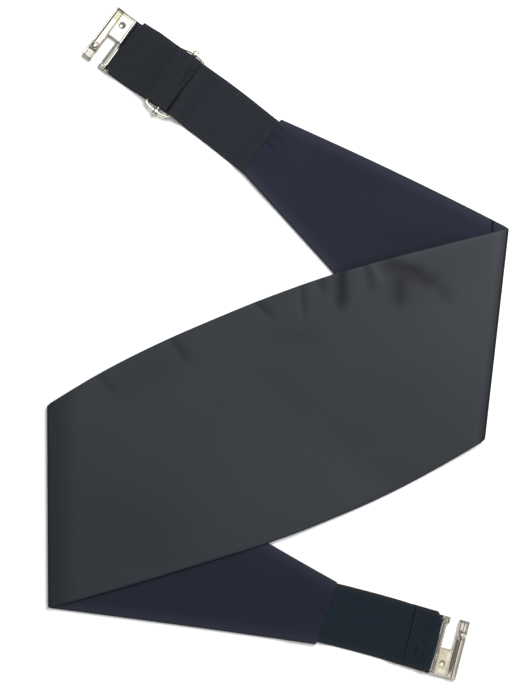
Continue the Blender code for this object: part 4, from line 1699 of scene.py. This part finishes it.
# ---- Metal ----
class Shape:
    """A hard piece or a stitch being shaped by hand, in millimetres in its own place."""

    def __init__(self, made: Object) -> None:
        """Takes the object that an operator has just added."""
        self.made = made

    def dress(self, plate: Material, edge: Material) -> "Shape":
        """Gives the piece its plate, and the finish that its softened edges take.

        Args:
            plate: The plate's material.
            edge: The softened edges' material.

        Returns:
            This piece.
        """
        self.made.data.materials.append(plate)
        self.made.data.materials.append(edge)
        return self

    def mapped(self) -> "Shape":
        """Keeps each corner's flat place in the metal map.

        Returns:
            This piece.
        """
        mesh = self.made.data
        for layer in list(mesh.uv_layers):
            mesh.uv_layers.remove(layer)
        places = np.empty(len(mesh.vertices) * 3)
        mesh.vertices.foreach_get("co", places)
        corners = np.empty(len(mesh.loops), np.int64)
        mesh.loops.foreach_get("vertex_index", corners)
        flat = places.reshape(-1, 3)[corners, :2] * MM
        mesh.uv_layers.new(name="metal").data.foreach_set("uv", flat.ravel().astype(np.float32))
        return self

    @classmethod
    def added(cls, scale: Point = (1.0, 1.0, 1.0)) -> "Shape":
        """The primitive that was just added, with its place and size in its mesh.

        Args:
            scale: Its size on each axis.

        Returns:
            The piece.
        """
        bpy.context.object.scale = scale
        bpy.ops.object.transform_apply(location=True, rotation=True, scale=True)
        return cls(bpy.context.object)

    @classmethod
    def block(cls, low: Point, high: Point) -> "Shape":
        """A block between two corners.

        Args:
            low: The lower corner.
            high: The higher corner.

        Returns:
            The piece.
        """
        deselect()
        low, high = np.asarray(low), np.asarray(high)
        bpy.ops.mesh.primitive_cube_add(size=1.0, location=(low + high) / 2)
        return cls.added(high - low)

    @classmethod
    def rod(cls, start: Point, end: Point, radius: float, sides: int = 32) -> "Shape":
        """A round rod between two points.

        Args:
            start: The middle of one end.
            end: The middle of the other.
            radius: The rod's radius.
            sides: How many flat sides stand for its round.

        Returns:
            The piece.
        """
        deselect()
        way = Vector(end) - Vector(start)
        bpy.ops.mesh.primitive_cylinder_add(
            vertices=sides,
            radius=radius,
            depth=way.length,
            location=(Vector(start) + Vector(end)) / 2,
            rotation=way.to_track_quat("Z", "Y").to_euler(),
        )
        return cls.added()

    @classmethod
    def ball(cls, at: Point, radii: Point, rings: int = 24) -> "Shape":
        """A ball about a point with a radius on each axis.

        Args:
            at: The ball's middle.
            radii: Its radius on each axis.
            rings: How many rings of faces it has.

        Returns:
            The piece.
        """
        deselect()
        bpy.ops.mesh.primitive_uv_sphere_add(
            segments=2 * rings, ring_count=rings, radius=1.0, location=at
        )
        return cls.added(radii)

    def _edit(self, kind: str) -> bmesh.types.BMesh:
        """Enters edit mode with nothing selected, for faces, edges or points.

        Args:
            kind: FACE, EDGE or VERT.

        Returns:
            The mesh in edit mode.
        """
        select_only(self.made)
        bpy.ops.object.mode_set(mode="EDIT")
        bpy.ops.mesh.select_mode(type=kind)
        bpy.ops.mesh.select_all(action="DESELECT")
        return bmesh.from_edit_mesh(self.made.data)

    def cut(self, axis: int, *places: float) -> "Shape":
        """Draws lines round the piece where it crosses planes square to an axis.

        Args:
            axis: 0, 1 or 2 for X, Y or Z.
            places: The planes' places on that axis.

        Returns:
            This piece.
        """
        for at in places:
            self._edit("FACE")
            bpy.ops.mesh.select_all(action="SELECT")
            plane = [0.0, 0.0, 0.0]
            plane[axis] = 1.0
            bpy.ops.mesh.bisect(plane_co=[at * value for value in plane], plane_no=plane)
            bpy.ops.object.mode_set(mode="OBJECT")
        return self

    def top_faces(self, low: Flat, high: Flat) -> int:
        """Selects the upward faces between two flat corners, and leaves edit mode on.

        Args:
            low: The lower corner.
            high: The higher corner.

        Returns:
            How many faces were found.
        """
        shape = self._edit("FACE")
        found = 0
        for face in shape.faces:
            at = face.calc_center_median()
            inside = low[0] < at.x < high[0] and low[1] < at.y < high[1]
            if inside and face.normal.z > 0.9:
                face.select_set(True)
                found += 1
        bmesh.update_edit_mesh(self.made.data)
        return found

    def push(self, low: Flat, high: Flat, by: float) -> "Shape":
        """Raises or sinks the upward faces between two flat corners.

        Args:
            low: The lower corner.
            high: The higher corner.
            by: How far they rise, below 0 to sink.

        Returns:
            This piece.
        """
        if self.top_faces(low, high):
            bpy.ops.mesh.extrude_region_move(TRANSFORM_OT_translate={"value": (0.0, 0.0, by)})
        bpy.ops.object.mode_set(mode="OBJECT")
        return self

    def sink(self, low: Flat, high: Flat, rim: float, depth: float) -> "Shape":
        """Sinks the upward faces between two flat corners inside a rim.

        Args:
            low: The lower corner.
            high: The higher corner.
            rim: The rim's width.
            depth: How far they sink.

        Returns:
            This piece.
        """
        if self.top_faces(low, high):
            bpy.ops.mesh.inset(thickness=rim, depth=0.0)
            bpy.ops.mesh.extrude_region_move(TRANSFORM_OT_translate={"value": (0.0, 0.0, -depth)})
            bpy.ops.transform.resize(value=(0.94, 0.94, 1.0))
        bpy.ops.object.mode_set(mode="OBJECT")
        return self

    def soften(self, width: float, segments: int = 2, angle: float = 28.0) -> "Shape":
        """Rounds the edges that turn by more than an angle.

        Args:
            width: The bevel's width.
            segments: How many faces it has across.
            angle: The smallest turn in degrees that is rounded.

        Returns:
            This piece.
        """
        bevel = self.made.modifiers.new("edge", "BEVEL")
        bevel.width = width
        bevel.segments = segments
        bevel.limit_method = "ANGLE"
        bevel.angle_limit = math.radians(angle)
        # The bevels take the second material: on the hooks and the slider, the dark edge nickel
        # that paints shade along the edges.
        bevel.material = min(1, len(self.made.data.materials) - 1)
        apply_modifiers(self.made)
        return self

    def repeat(self, step: Point, count: int) -> "Shape":
        """Copies the piece count times, step apart.

        Args:
            step: The way from one copy to the next.
            count: How many there are in all.

        Returns:
            This piece.
        """
        array = self.made.modifiers.new("repeat", "ARRAY")
        array.use_relative_offset = False
        array.use_constant_offset = True
        array.constant_offset_displace = step
        array.count = count
        apply_modifiers(self.made)
        return self

    def squeeze(self, by: Point) -> "Shape":
        """Scales the piece about its own middle."""
        self.made.data.transform(Matrix.Diagonal((*by, 1.0)))
        return self

    def turned(self, degrees: float) -> "Shape":
        """Turns the piece about the upright through its own middle.

        Args:
            degrees: The angle.

        Returns:
            This piece.
        """
        places = [vertex.co for vertex in self.made.data.vertices]
        middle = sum(places, Vector()) / len(places)
        spun = Matrix.Rotation(math.radians(degrees), 4, "Z")
        self.made.data.transform(Matrix.Translation(middle) @ spun @ Matrix.Translation(-middle))
        return self

    def combine(self, tool: "Shape", operation: str) -> "Shape":
        """Adds or takes away another piece: UNION or DIFFERENCE.

        Args:
            tool: The other piece, which is used up.
            operation: The boolean's kind.

        Returns:
            This piece.
        """
        boolean = self.made.modifiers.new("combine", "BOOLEAN")
        boolean.operation = operation
        boolean.object = tool.made
        apply_modifiers(self.made)
        bpy.data.objects.remove(tool.made)
        return self

    def join(self, others: list["Shape"]) -> "Shape":
        """Makes this piece and others one object.

        Args:
            others: The other pieces.

        Returns:
            This piece.
        """
        select_only(self.made, *(other.made for other in others))
        bpy.ops.object.join()
        return self

    def put(self, name: str, at: Array, height: float, degrees: float) -> Object:
        """Turns the piece, brings it to its place and names it.

        Args:
            name: The piece's name.
            at: Its place in the layout.
            height: The height of its own zero.
            degrees: How far it is turned.

        Returns:
            The finished object.
        """
        turned = Matrix.Rotation(math.radians(degrees), 4, "Z")
        moved = Matrix.Translation(Vector((*(np.asarray(at) + CENTRE[:2]), height)) * MM)
        self.made.data.transform(moved @ turned @ Matrix.Scale(MM, 4))
        self.made.name = self.made.data.name = name
        select_only(self.made)
        bpy.ops.object.shade_smooth_by_angle(angle=math.radians(26.0))
        return self.made


@dataclass
class Hook:
    """A stamped hook. X points away from the strap, and the pin in the strap's loop lies
    along Y at X = 0. The throat between the plate and the stub is open at one end."""

    name: str
    node: str
    body: Body
    strap: Strap
    finish: NickelFinish
    rib_pitch: float = 0.85
    rib_turn: float = 0.0
    ribs_from: float = -0.9
    half: float = 18.0
    arm: float = 1.5
    arm_back: float = 0.8
    sheet: float = 0.8
    pin_radius: float = 0.6
    rail_start: float = 2.2
    rail_width: float = 2.2
    web_start: float = 1.97
    blade_start: float = 11.9
    blade_end: float = 17.9
    blade_floor: float = -1.2
    channel_floor: float = -0.45
    lip_top: float = 0.85
    outer_lip: float = 1.9
    inner_lip: float = 0.5
    plate_edge: float = -0.9
    stub_start: float = 13.9
    stub_reach: float = 6.2
    cell: Flat = (11.5, 16.7)
    channel_end: float = 10.8
    bump: Point = (15.2, 8.9, 0.05)
    dimple: Flat = (9.1, -10.6)
    dimple_radius: float = 2.05
    dimple_depth: float = 0.7
    softness: float = 0.4
    side_softness: float = 0.4
    # Painted shade in the strap's colour, laid on the plate and on the softened edges.
    painted_strap_shade: tuple[StainAndShade, ...] = ()
    # The softened edges take this dark copy of the nickel: painted shade along every edge.
    edge: NickelFinish = NickelFinish(
        "nickel_edge", (0.20, 0.187, 0.15), (0.12, 0.112, 0.088), 0.34
    )

    def build(self) -> Object:
        """The hook, placed and dressed, in place of the frame's part and attached to its body.

        Returns:
            The hook.
        """
        # The plate takes its patches and the painted strap shade; the edges take the painted strap
        # shade.
        stains_and_shade = self.finish.stains_and_shade + self.painted_strap_shade
        self._plate_material = replace(self.finish, stains_and_shade=stains_and_shade).material()
        self._edge_material = replace(self.edge, stains_and_shade=self.painted_strap_shade).material()
        parts = [*self._blade(), self._rail(), self._ribs(), *self._arms(), self._pin()]
        made = self._plate().join(parts)
        bar = np.asarray(self.strap.bar)
        made = made.put(self.name, bar, HOOK_HEIGHT, self.strap.bar_angle)
        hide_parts(self.node)
        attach(made, self.body.value)
        return made

    def _block(self, low: Point, high: Point) -> Shape:
        """A dressed block between two corners."""
        return Shape.block(low, high).dress(self._plate_material, self._edge_material)

    def _rod(self, start: Point, end: Point, radius: float) -> Shape:
        """A dressed rod between two points."""
        return Shape.rod(start, end, radius, 24).dress(self._plate_material, self._edge_material)

    def _plate(self) -> Shape:
        """The plate, with a raised rim along the throat and a pressed dimple.

        Returns:
            The plate.
        """
        top = self.sheet / 2
        low = (self.rail_start + self.rail_width - 0.3, -self.half + 0.9, -top)
        plate = self._block(low, (self.blade_start + 0.2, self.plate_edge, top))
        plate.cut(1, self.plate_edge - 1.0)
        plate.push((0.0, self.plate_edge - 1.0), (20.0, 0.0), 0.1)
        plate.soften(self.softness * 0.8, 1)
        radius, depth = self.dimple_radius, self.dimple_depth
        ball = (radius**2 + depth**2) / (2.0 * depth)
        pressed = Shape.ball((*self.dimple, -top + 0.1), (radius + 0.4, radius + 0.4, 0.95))
        plate.combine(pressed, "UNION")
        plate.combine(Shape.ball((*self.dimple, top - depth + ball), (ball,) * 3, 48), "DIFFERENCE")
        return plate.mapped()

    def _blade(self) -> list[Shape]:
        """The blade: a block with a long channel and a cell sunk into it, and the pressed
        bump between them.

        Returns:
            The blade and the bump.
        """
        low, high = self.blade_start, self.blade_end
        inner, outer = low + self.inner_lip, high - self.outer_lip
        blade = self._block((low, -self.half, self.blade_floor), (high, self.half, self.lip_top))
        ends = (-self.half + 0.55, self.channel_end, *self.cell)
        blade.cut(0, inner, outer).cut(1, *ends)
        blade.push((low, -self.half), (inner, self.half), self.sheet / 2 + 0.1 - self.lip_top)
        depth = self.channel_floor - self.lip_top
        blade.push((inner, ends[0]), (outer, ends[1]), depth)
        blade.push((inner, ends[2]), (outer, ends[3]), depth * 0.8)
        blade.soften(self.softness, 1)
        bump = Shape.ball(self.bump, (1.5, 1.5, 0.8))
        bump.dress(self._plate_material, self._edge_material)
        return [blade.mapped(), bump.mapped()]

    def _rail(self) -> Shape:
        """The rail beside the strap: its folded lower edge, a core under the ribs, and where
        there are no ribs, a smooth part along the plate.

        Returns:
            The rail.
        """
        start, width = self.rail_start, self.rail_width
        middle = start + width / 2
        end = self.half - 1.6
        web = self._block((self.web_start, -end, -1.1), (start + 1.6, end, -0.5))
        end = self.half - 0.3
        core = self._rod((middle, -end, 0.0), (middle, end, 0.0), 0.5)
        core = core.mapped().join([web.soften(0.15, 1).mapped()])
        if self.ribs_from < self.plate_edge:
            return core
        high = (start + width - 0.25, self.plate_edge, 0.6)
        rail = self._block((start, -self.half + 0.2, -0.6), high)
        return rail.soften(self.softness, 1).mapped().join([core])

    def _ribs(self) -> Shape:
        """Fine ribs round the rail.

        Returns:
            All the ribs.
        """
        middle = self.rail_start + self.rail_width / 2
        first = self.ribs_from + self.rib_pitch * 0.4
        count = int((self.stub_start - self.ribs_from) / self.rib_pitch)
        rib = self._rod((middle, first, 0.0), (middle, first + self.rib_pitch * 0.7, 0.0), 1.0)
        rib.squeeze((self.rail_width / 2.2, 1.0, 0.62)).soften(0.22, 1).turned(self.rib_turn)
        return rib.repeat((0.0, self.rib_pitch, 0.0), count).mapped()

    def _arms(self) -> list[Shape]:
        """The arms that hold the pin, the sides that join them to the blade, and the stub.

        Returns:
            The four parts.
        """
        top, half, inside = self.sheet / 2, self.half, self.half - self.arm
        closed = self._block((-self.arm_back, -half, -top), (self.rail_start + 0.3, -inside, top))
        side_high = (self.blade_start + 0.3, -half + 1.0, top + 0.06)
        side = self._block((self.rail_start, -half, -top), side_high)
        opened = self._block((-self.arm_back, inside, -top), (self.stub_reach, half, top))
        stub_low, stub_high = (self.rail_start, self.stub_start), (self.stub_reach, half)
        stub = self._block((*stub_low, -top), (self.stub_reach, half - 0.2, top + 0.05))
        stub.sink(stub_low, stub_high, 0.8, 0.4)
        parts = [part.soften(self.softness, 1).mapped() for part in (closed, opened)]
        parts.append(side.soften(self.side_softness, 1).mapped())
        return [*parts, stub.soften(self.softness * 0.8, 1).mapped()]

    def _pin(self) -> Shape:
        """The pin in the strap's loop, reaching through the arms.

        Returns:
            The pin.
        """
        end = self.half + 0.02
        pin = self._rod((0.0, -end, 0.0), (0.0, end, 0.0), self.pin_radius)
        return pin.soften(0.12, 2).mapped()


# Painted shade in the strap's dark colour, for metal beside the strap.
STRAP_SHADE = (0.017, 0.019, 0.024)
# The upper hook's patches. The dark ones along the lips and the rail's edge, at the ends of the
# channel and the cell, round the bump, at the plate's edge, under the throat's edge and in the
# dimple are painted shade; the others make the metal darker or paler in places.
UPPER_STAINS_AND_SHADE = (
    StainAndShade((14.9, -5.0), (1.9, 5.5), (0.60, 0.55, 0.48), 0.5),
    StainAndShade((14.6, -14.0), (1.9, 3.8), (0.42, 0.41, 0.275), 0.95),
    StainAndShade((13.15, -8.0), (0.62, 9.6), (0.27, 0.26, 0.18), 0.9),
    StainAndShade((12.55, 8.0), (0.55, 10.8), (0.23, 0.215, 0.17)),
    StainAndShade((13.2, 4.2), (0.7, 2.0), (0.34, 0.32, 0.26), 0.8),
    StainAndShade((16.75, -3.0), (0.42, 15.0), (0.17, 0.155, 0.125), 0.95),
    StainAndShade((14.9, -17.2), (2.9, 1.5), (0.24, 0.225, 0.16)),
    StainAndShade((9.0, -16.6), (4.2, 1.3), (0.41, 0.395, 0.32), 0.9),
    StainAndShade((13.3, 9.2), (0.8, 3.0), (0.22, 0.205, 0.155), 0.95),
    StainAndShade((14.8, 11.3), (2.8, 1.1), (0.22, 0.205, 0.165), 0.95),
    StainAndShade((14.2, 6.8), (1.8, 0.8), (0.28, 0.26, 0.20), 0.9),
    StainAndShade((17.2, 9.6), (0.7, 3.2), (0.28, 0.26, 0.22), 0.8),
    StainAndShade((14.2, 14.4), (2.4, 1.9), (0.43, 0.42, 0.37), 0.85),
    StainAndShade((14.9, 17.1), (3.4, 0.75), (0.20, 0.19, 0.165)),
    StainAndShade((8.0, -0.9), (4.6, 0.8), (0.17, 0.16, 0.13)),
    StainAndShade((9.2, -10.5), (2.1, 2.1), (0.27, 0.26, 0.225), 0.95),
    StainAndShade((4.9, 7.0), (0.45, 9.4), (0.24, 0.22, 0.17), 0.9),
    StainAndShade((2.6, 16.9), (3.6, 1.0), (0.33, 0.32, 0.29), 0.9),
    StainAndShade((6.1, 16.9), (0.8, 1.1), (0.25, 0.24, 0.21), 0.9),
)
# Painted shade on the upper hook's rail and arms beside the strap, standing in for the strap's
# shadow and edge.
UPPER_STRAP_SHADE = (
    StainAndShade((2.2, -12.8), (1.75, 7.6), STRAP_SHADE),
    StainAndShade((2.0, -3.8), (1.65, 6.8), STRAP_SHADE),
    StainAndShade((1.95, 4.0), (0.55, 9.0), STRAP_SHADE),
    StainAndShade((2.0, 6.0), (0.4, 13.0), STRAP_SHADE),
    StainAndShade((0.9, -17.4), (3.1, 1.9), STRAP_SHADE),
)
# The lower hook's patches. The dark ones in the channel, along the outer lip, at the ends of the
# cell, round the bump, on the rail beside the strap and under the throat's edge are painted shade;
# the others make the metal darker or paler in places.
LOWER_STAINS_AND_SHADE = (
    StainAndShade((13.7, -3.2), (1.35, 12.6), (0.12, 0.101, 0.072), 0.96),
    StainAndShade((8.2, -8.5), (3.8, 8.2), (0.56, 0.50, 0.37), 0.8),
    StainAndShade((3.0, 1.0), (1.25, 18.0), (0.34, 0.33, 0.295), 0.85),
    StainAndShade((2.1, -1.5), (0.5, 8.5), (0.06, 0.06, 0.058)),
    StainAndShade((4.3, -9.0), (0.6, 8.6), (0.36, 0.335, 0.28), 0.8),
    StainAndShade((3.4, -7.0), (0.6, 2.2), (0.66, 0.62, 0.54), 0.8),
    StainAndShade((17.25, 0.0), (1.05, 17.8), (0.26, 0.24, 0.21), 0.95),
    StainAndShade((14.8, 7.0), (2.8, 0.9), (0.22, 0.19, 0.155), 0.95),
    StainAndShade((15.6, 11.0), (2.6, 0.9), (0.20, 0.175, 0.14), 0.95),
    StainAndShade((13.4, 10.0), (0.8, 2.6), (0.30, 0.265, 0.22), 0.9),
    StainAndShade((14.5, 14.2), (1.6, 1.9), (0.60, 0.52, 0.44), 0.8),
    StainAndShade((13.0, 14.6), (0.5, 2.6), (0.28, 0.25, 0.215), 0.9),
    StainAndShade((14.9, 17.2), (3.4, 0.8), (0.23, 0.205, 0.175), 0.95),
    StainAndShade((4.3, 16.0), (1.9, 2.0), (0.30, 0.33, 0.25), 0.8),
    StainAndShade((8.2, -1.0), (3.9, 0.6), (0.34, 0.28, 0.17), 0.7),
    StainAndShade((15.4, -13.0), (0.75, 4.6), (0.46, 0.43, 0.37), 0.85),
    StainAndShade((15.4, 13.8), (0.9, 2.6), (0.66, 0.62, 0.55), 0.9),
    StainAndShade((17.2, 9.0), (0.9, 1.1), (0.62, 0.58, 0.52), 0.9),
    StainAndShade((17.0, 15.6), (0.8, 2.2), (0.22, 0.205, 0.18), 0.85),
    StainAndShade((13.6, 7.6), (1.0, 1.6), (0.42, 0.395, 0.34), 0.8),
    StainAndShade((15.4, 8.9), (1.6, 1.6), (0.46, 0.42, 0.365), 0.85),
    StainAndShade((6.3, -3.6), (1.6, 1.4), (0.47, 0.41, 0.29), 0.6),
    StainAndShade((6.2, -10.2), (1.2, 1.2), (0.50, 0.45, 0.34), 0.6),
    StainAndShade((8.6, -14.6), (2.4, 1.2), (0.74, 0.70, 0.58), 0.7),
    StainAndShade((10.6, -5.2), (1.1, 2.6), (0.72, 0.69, 0.57), 0.7),
)
# Painted shade on the lower hook's arms at the pin's ends, standing in for the strap's shadow.
LOWER_STRAP_SHADE = (
    StainAndShade((0.0, -17.3), (1.8, 1.6), STRAP_SHADE),
    StainAndShade((0.0, 17.3), (1.7, 1.6), STRAP_SHADE),
)
LOWER_NICKEL = NickelFinish(
    "lower_nickel", (0.68, 0.655, 0.58), (0.50, 0.465, 0.39), stains_and_shade=LOWER_STAINS_AND_SHADE
)


@dataclass
class Slider:
    """The wire slider: a ring with straight rails, and a bar crimped round its sides."""

    strap: Strap
    finish: NickelFinish = NickelFinish(
        "slider_nickel", (0.72, 0.69, 0.60), (0.50, 0.465, 0.37), 0.24
    )
    # The softened edges take this dark copy of the nickel: painted shade along the edges.
    edge: NickelFinish = NickelFinish(
        "slider_edge", (0.20, 0.185, 0.145), (0.12, 0.11, 0.085), 0.34
    )
    side: float = 20.9
    shoulder: float = 19.8
    corner: float = 1.4
    crimp_radius: float = 2.15
    crimp_length: float = 2.9

    def build(self) -> list[Object]:
        """The ring and the bar, placed and dressed, in place of the frame's parts and attached to
        the garment's body.

        Returns:
            The ring and the bar.
        """
        place, way = self.strap.frames(np.array((self.strap.slider_at,)))
        at = place[0] + left_of(way[0]) * SLIDER_ASIDE
        degrees = math.degrees(math.atan2(way[0, 1], way[0, 0]))
        self._materials = self.finish.material(), self.edge.material()
        ring = self._ring().put("slider_wire", at, SLIDER_HEIGHT, degrees)
        bar = self._bar().put("slider_crossbar", at, SLIDER_HEIGHT, degrees)
        for made, node in ((ring, "slider_ring"), (bar, "slider_bar")):
            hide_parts(node)
            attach(made, Body.GARMENT.value)
        return [ring, bar]

    def _quarter(self) -> list[Flat]:
        """Points of a quarter of the ring, from the middle of a rail to a side.

        Returns:
            The points.
        """
        points = [(SLIDER_RAIL, y) for y in np.linspace(0.0, self.shoulder - self.corner - 0.3, 14)]
        centre_x, centre_y = SLIDER_RAIL - self.corner, self.shoulder - self.corner
        for degrees in np.linspace(0.0, 70.0, 9):
            step = heading(float(degrees)) * self.corner
            points.append((centre_x + step[0], centre_y + step[1]))
        last_x, last_y = points[-1]
        for share in np.linspace(0.0, 1.0, 19)[1:]:
            rise = (self.side - last_y) * math.sin(math.pi / 2 * share)
            points.append((last_x * (1.0 - share), last_y + rise))
        return points

    def _ring(self) -> Shape:
        """The ring of bent wire.

        Returns:
            The ring.
        """
        quarter = self._quarter()
        upper = quarter + [(-x, y) for x, y in quarter[-2::-1]]
        points = upper + [(x, -y) for x, y in upper[-2:0:-1]]
        line = bpy.data.curves.new("slider_wire", "CURVE")
        line.dimensions = "3D"
        line.bevel_depth = WIRE_RADIUS
        line.bevel_resolution = 6
        spline = line.splines.new("POLY")
        spline.points.add(len(points) - 1)
        spline.use_cyclic_u = True
        for point, (x, y) in zip(spline.points, points):
            point.co = (x, y, 0.0, 1.0)
        made = bpy.data.objects.new("slider_wire", line)
        bpy.context.scene.collection.objects.link(made)
        select_only(made)
        bpy.ops.object.convert(target="MESH")
        return Shape(bpy.context.object).dress(*self._materials).mapped()

    def _bar(self) -> Shape:
        """The bar, with a rounded sleeve crimped round each side of the ring.

        Returns:
            The bar with its sleeves.
        """
        end = self.side - self.crimp_radius + 0.3
        bar = Shape.rod((0.0, -end, 0.0), (0.0, end, 0.0), WIRE_RADIUS).dress(*self._materials)
        half = self.crimp_length / 2
        sleeves = []
        for at in (-self.side, self.side):
            sleeve = Shape.rod((-half, at, 0.0), (half, at, 0.0), self.crimp_radius)
            sleeve.dress(*self._materials).soften(0.5, 2, 50.0)
            sleeves.append(sleeve.mapped())
        return bar.mapped().join(sleeves)


# ---- Sewing ----
@dataclass
class Stitches:
    """A row of stitches between two points of the layout, half sunk in the cloth."""

    name: str
    start: Flat
    end: Flat
    height: float
    count: int
    share: float = 0.64
    radius: float = 0.2
    slant: float = 4.0
    finish: ThreadFinish = ThreadFinish()

    def build(self) -> Object:
        """The row, dressed.

        Returns:
            The row.
        """
        way = np.subtract(self.end, self.start)
        pitch = float(np.linalg.norm(way)) / self.count
        first = (pitch * (1.0 - self.share) / 2, 0.0, 0.0)
        stitch = Shape.rod(first, (first[0] + pitch * self.share, 0.0, 0.0), self.radius, 8)
        thread = self.finish.material()
        stitch.dress(thread, thread).soften(self.radius * 0.6, 1).turned(self.slant)
        stitch.repeat((pitch, 0.0, 0.0), self.count).mapped()
        degrees = math.degrees(math.atan2(way[1], way[0]))
        made = stitch.put(self.name, self.start, self.height, degrees)
        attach(made, Body.GARMENT.value)
        return made


STITCH_MARGIN = 1.6
STITCH_COUNT = 13
STITCH_OFFSET = 0.95
STITCH_RISE = 0.52


def strap_stitches(strap: Strap) -> Stitches:
    """The row across a strap where its end is sewn back on itself.

    Args:
        strap: The strap.

    Returns:
        The row.
    """
    place, way = strap.frames(np.array((strap.length - STITCH_BACK + STITCH_OFFSET,)))
    aside = left_of(way[0]) * (strap.half_width - STITCH_MARGIN)
    start, end = tuple(place[0] - aside), tuple(place[0] + aside)
    return Stitches("strap_stitches", start, end, ON_ELASTIC + STITCH_RISE, STITCH_COUNT)


# ---- Studio ----
@dataclass(frozen=True)
class Lamp:
    """A square soft light that faces the garment, with its place and size in metres."""

    name: str
    at: Point
    power: float
    size: float

    def build(self) -> None:
        """Makes the light."""
        lamp = bpy.data.lights.new(self.name, "AREA")
        lamp.energy = self.power
        lamp.size = self.size
        made = bpy.data.objects.new(self.name, lamp)
        made.location = self.at
        made.rotation_euler = (-Vector(self.at)).to_track_quat("-Z", "Y").to_euler()
        bpy.context.scene.collection.objects.link(made)


@dataclass
class Studio:
    """White paper, soft light from the upper right and overhead, and the camera."""

    camera_at: Flat = (-9.3, -3.9)
    camera_height: float = 1.1687
    lens: float = 100.0
    film: float = 36.0
    paper_size: float = 6.0
    paper_drop: float = 0.0002
    lamps: tuple[Lamp, ...] = (
        Lamp("key_light", (0.50, 0.60, 1.12), 19.4, 0.7),
        Lamp("top_light", (0.35, 0.45, 1.45), 4.8, 1.2),
    )
    sky_strength: float = 0.9
    sky: tuple[Flat, ...] = ((0.0, 0.05), (0.35, 0.16), (0.7, 0.55), (1.0, 1.0))

    def build(self) -> None:
        """Makes the floor, the lights, the world and the camera."""
        self._floor()
        for lamp in self.lamps:
            lamp.build()
        self._world()
        self._camera()
        settings = bpy.context.scene.view_settings
        settings.view_transform = "Standard"
        settings.look = "None"

    def _floor(self) -> None:
        """The paper that the garment lies on."""
        deselect()
        bpy.ops.mesh.primitive_plane_add(size=self.paper_size, location=(0, 0, -self.paper_drop))
        floor = bpy.context.object
        floor.name = "paper"
        floor.data.materials.append(PaperFinish().material())

    def _world(self) -> None:
        """A studio that is white overhead and dark towards the horizon."""
        graph = Graph(bpy.data.worlds.new("studio"), "Background")
        height = graph.part(graph.add("ShaderNodeTexCoord"), 2)
        stops = [(at, (white,) * 3) for at, white in self.sky]
        colour = graph.add("ShaderNodeValToRGB", {"stops": stops}, {"Fac": height})
        sockets = {"Color": colour, "Strength": self.sky_strength}
        bpy.context.scene.world = graph.finish(sockets)

    def _camera(self) -> None:
        """The camera, straight above the layout."""
        camera = bpy.data.cameras.new("camera")
        camera.lens = self.lens
        camera.sensor_width = self.film
        made = bpy.data.objects.new("camera", camera)
        made.location = (self.camera_at[0] * MM, self.camera_at[1] * MM, self.camera_height)
        bpy.context.scene.collection.objects.link(made)
        bpy.context.scene.camera = made


def straps() -> list[ElasticBand]:
    """Both straps.

    Returns:
        The upper strap and the lower one.
    """
    upper = ElasticBand(
        "upper_elastic",
        "upper_strap",
        UPPER_STRAP,
        upper_path(UPPER_STRAP.length, UPPER_STRAP.slider_at),
        flat=(0.038, 0.185),
        finish=ElasticFinish(lines=SLIDER_LINES),
        loop_skew=((-1.0, -0.4), (-0.1, -0.4), (0.35, 0.15), (1.0, 0.9)),
        upper_shift=-0.45,
    )
    lower = ElasticBand(
        "lower_elastic",
        "lower_strap",
        LOWER_STRAP,
        lower_path(LOWER_STRAP.length),
        flat=(0.037, 0.1),
        finish=LOWER_ELASTIC,
        groove=(LOWER_STRAP.length - STITCH_BACK, 0.35, 0.55),
    )
    return [upper, lower]


def hooks() -> list[Hook]:
    """Both hooks.

    Returns:
        The upper hook and the lower one.
    """
    upper = Hook(
        "upper_stamping",
        "upper_hook",
        Body.UPPER_HOOK,
        UPPER_STRAP,
        NickelFinish("upper_nickel", stains_and_shade=UPPER_STAINS_AND_SHADE),
        rail_width=2.9,
        inner_lip=1.1,
        outer_lip=1.1,
        painted_strap_shade=UPPER_STRAP_SHADE,
    )
    lower = Hook(
        "lower_stamping",
        "lower_hook",
        Body.LOWER_HOOK,
        LOWER_STRAP,
        LOWER_NICKEL,
        rib_pitch=1.6,
        rib_turn=24.0,
        ribs_from=-17.0,
        rail_width=2.5,
        inner_lip=0.9,
        outer_lip=2.7,
        bump=(15.4, 8.9, 0.2),
        side_softness=0.2,
        painted_strap_shade=LOWER_STRAP_SHADE,
        dimple=(7.9, -9.9),
        dimple_radius=1.75,
    )
    return [upper, lower]


def main() -> None:
    """Builds the pieces in order and reports each."""
    logging.basicConfig(level=logging.INFO, format="%(message)s")
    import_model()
    strip = ClothStrip()
    pieces = [SatinFront(strip).build(), Lining(strip).build()]
    pieces += [band.build() for band in straps()]
    pieces.append(strap_stitches(LOWER_STRAP).build())
    pieces += Slider(UPPER_STRAP).build()
    pieces += [hook.build() for hook in hooks()]
    Studio().build()
    for piece in pieces:
        log.info("%s: %d faces", piece.name, len(piece.data.polygons))


if __name__ == "__main__":
    main()
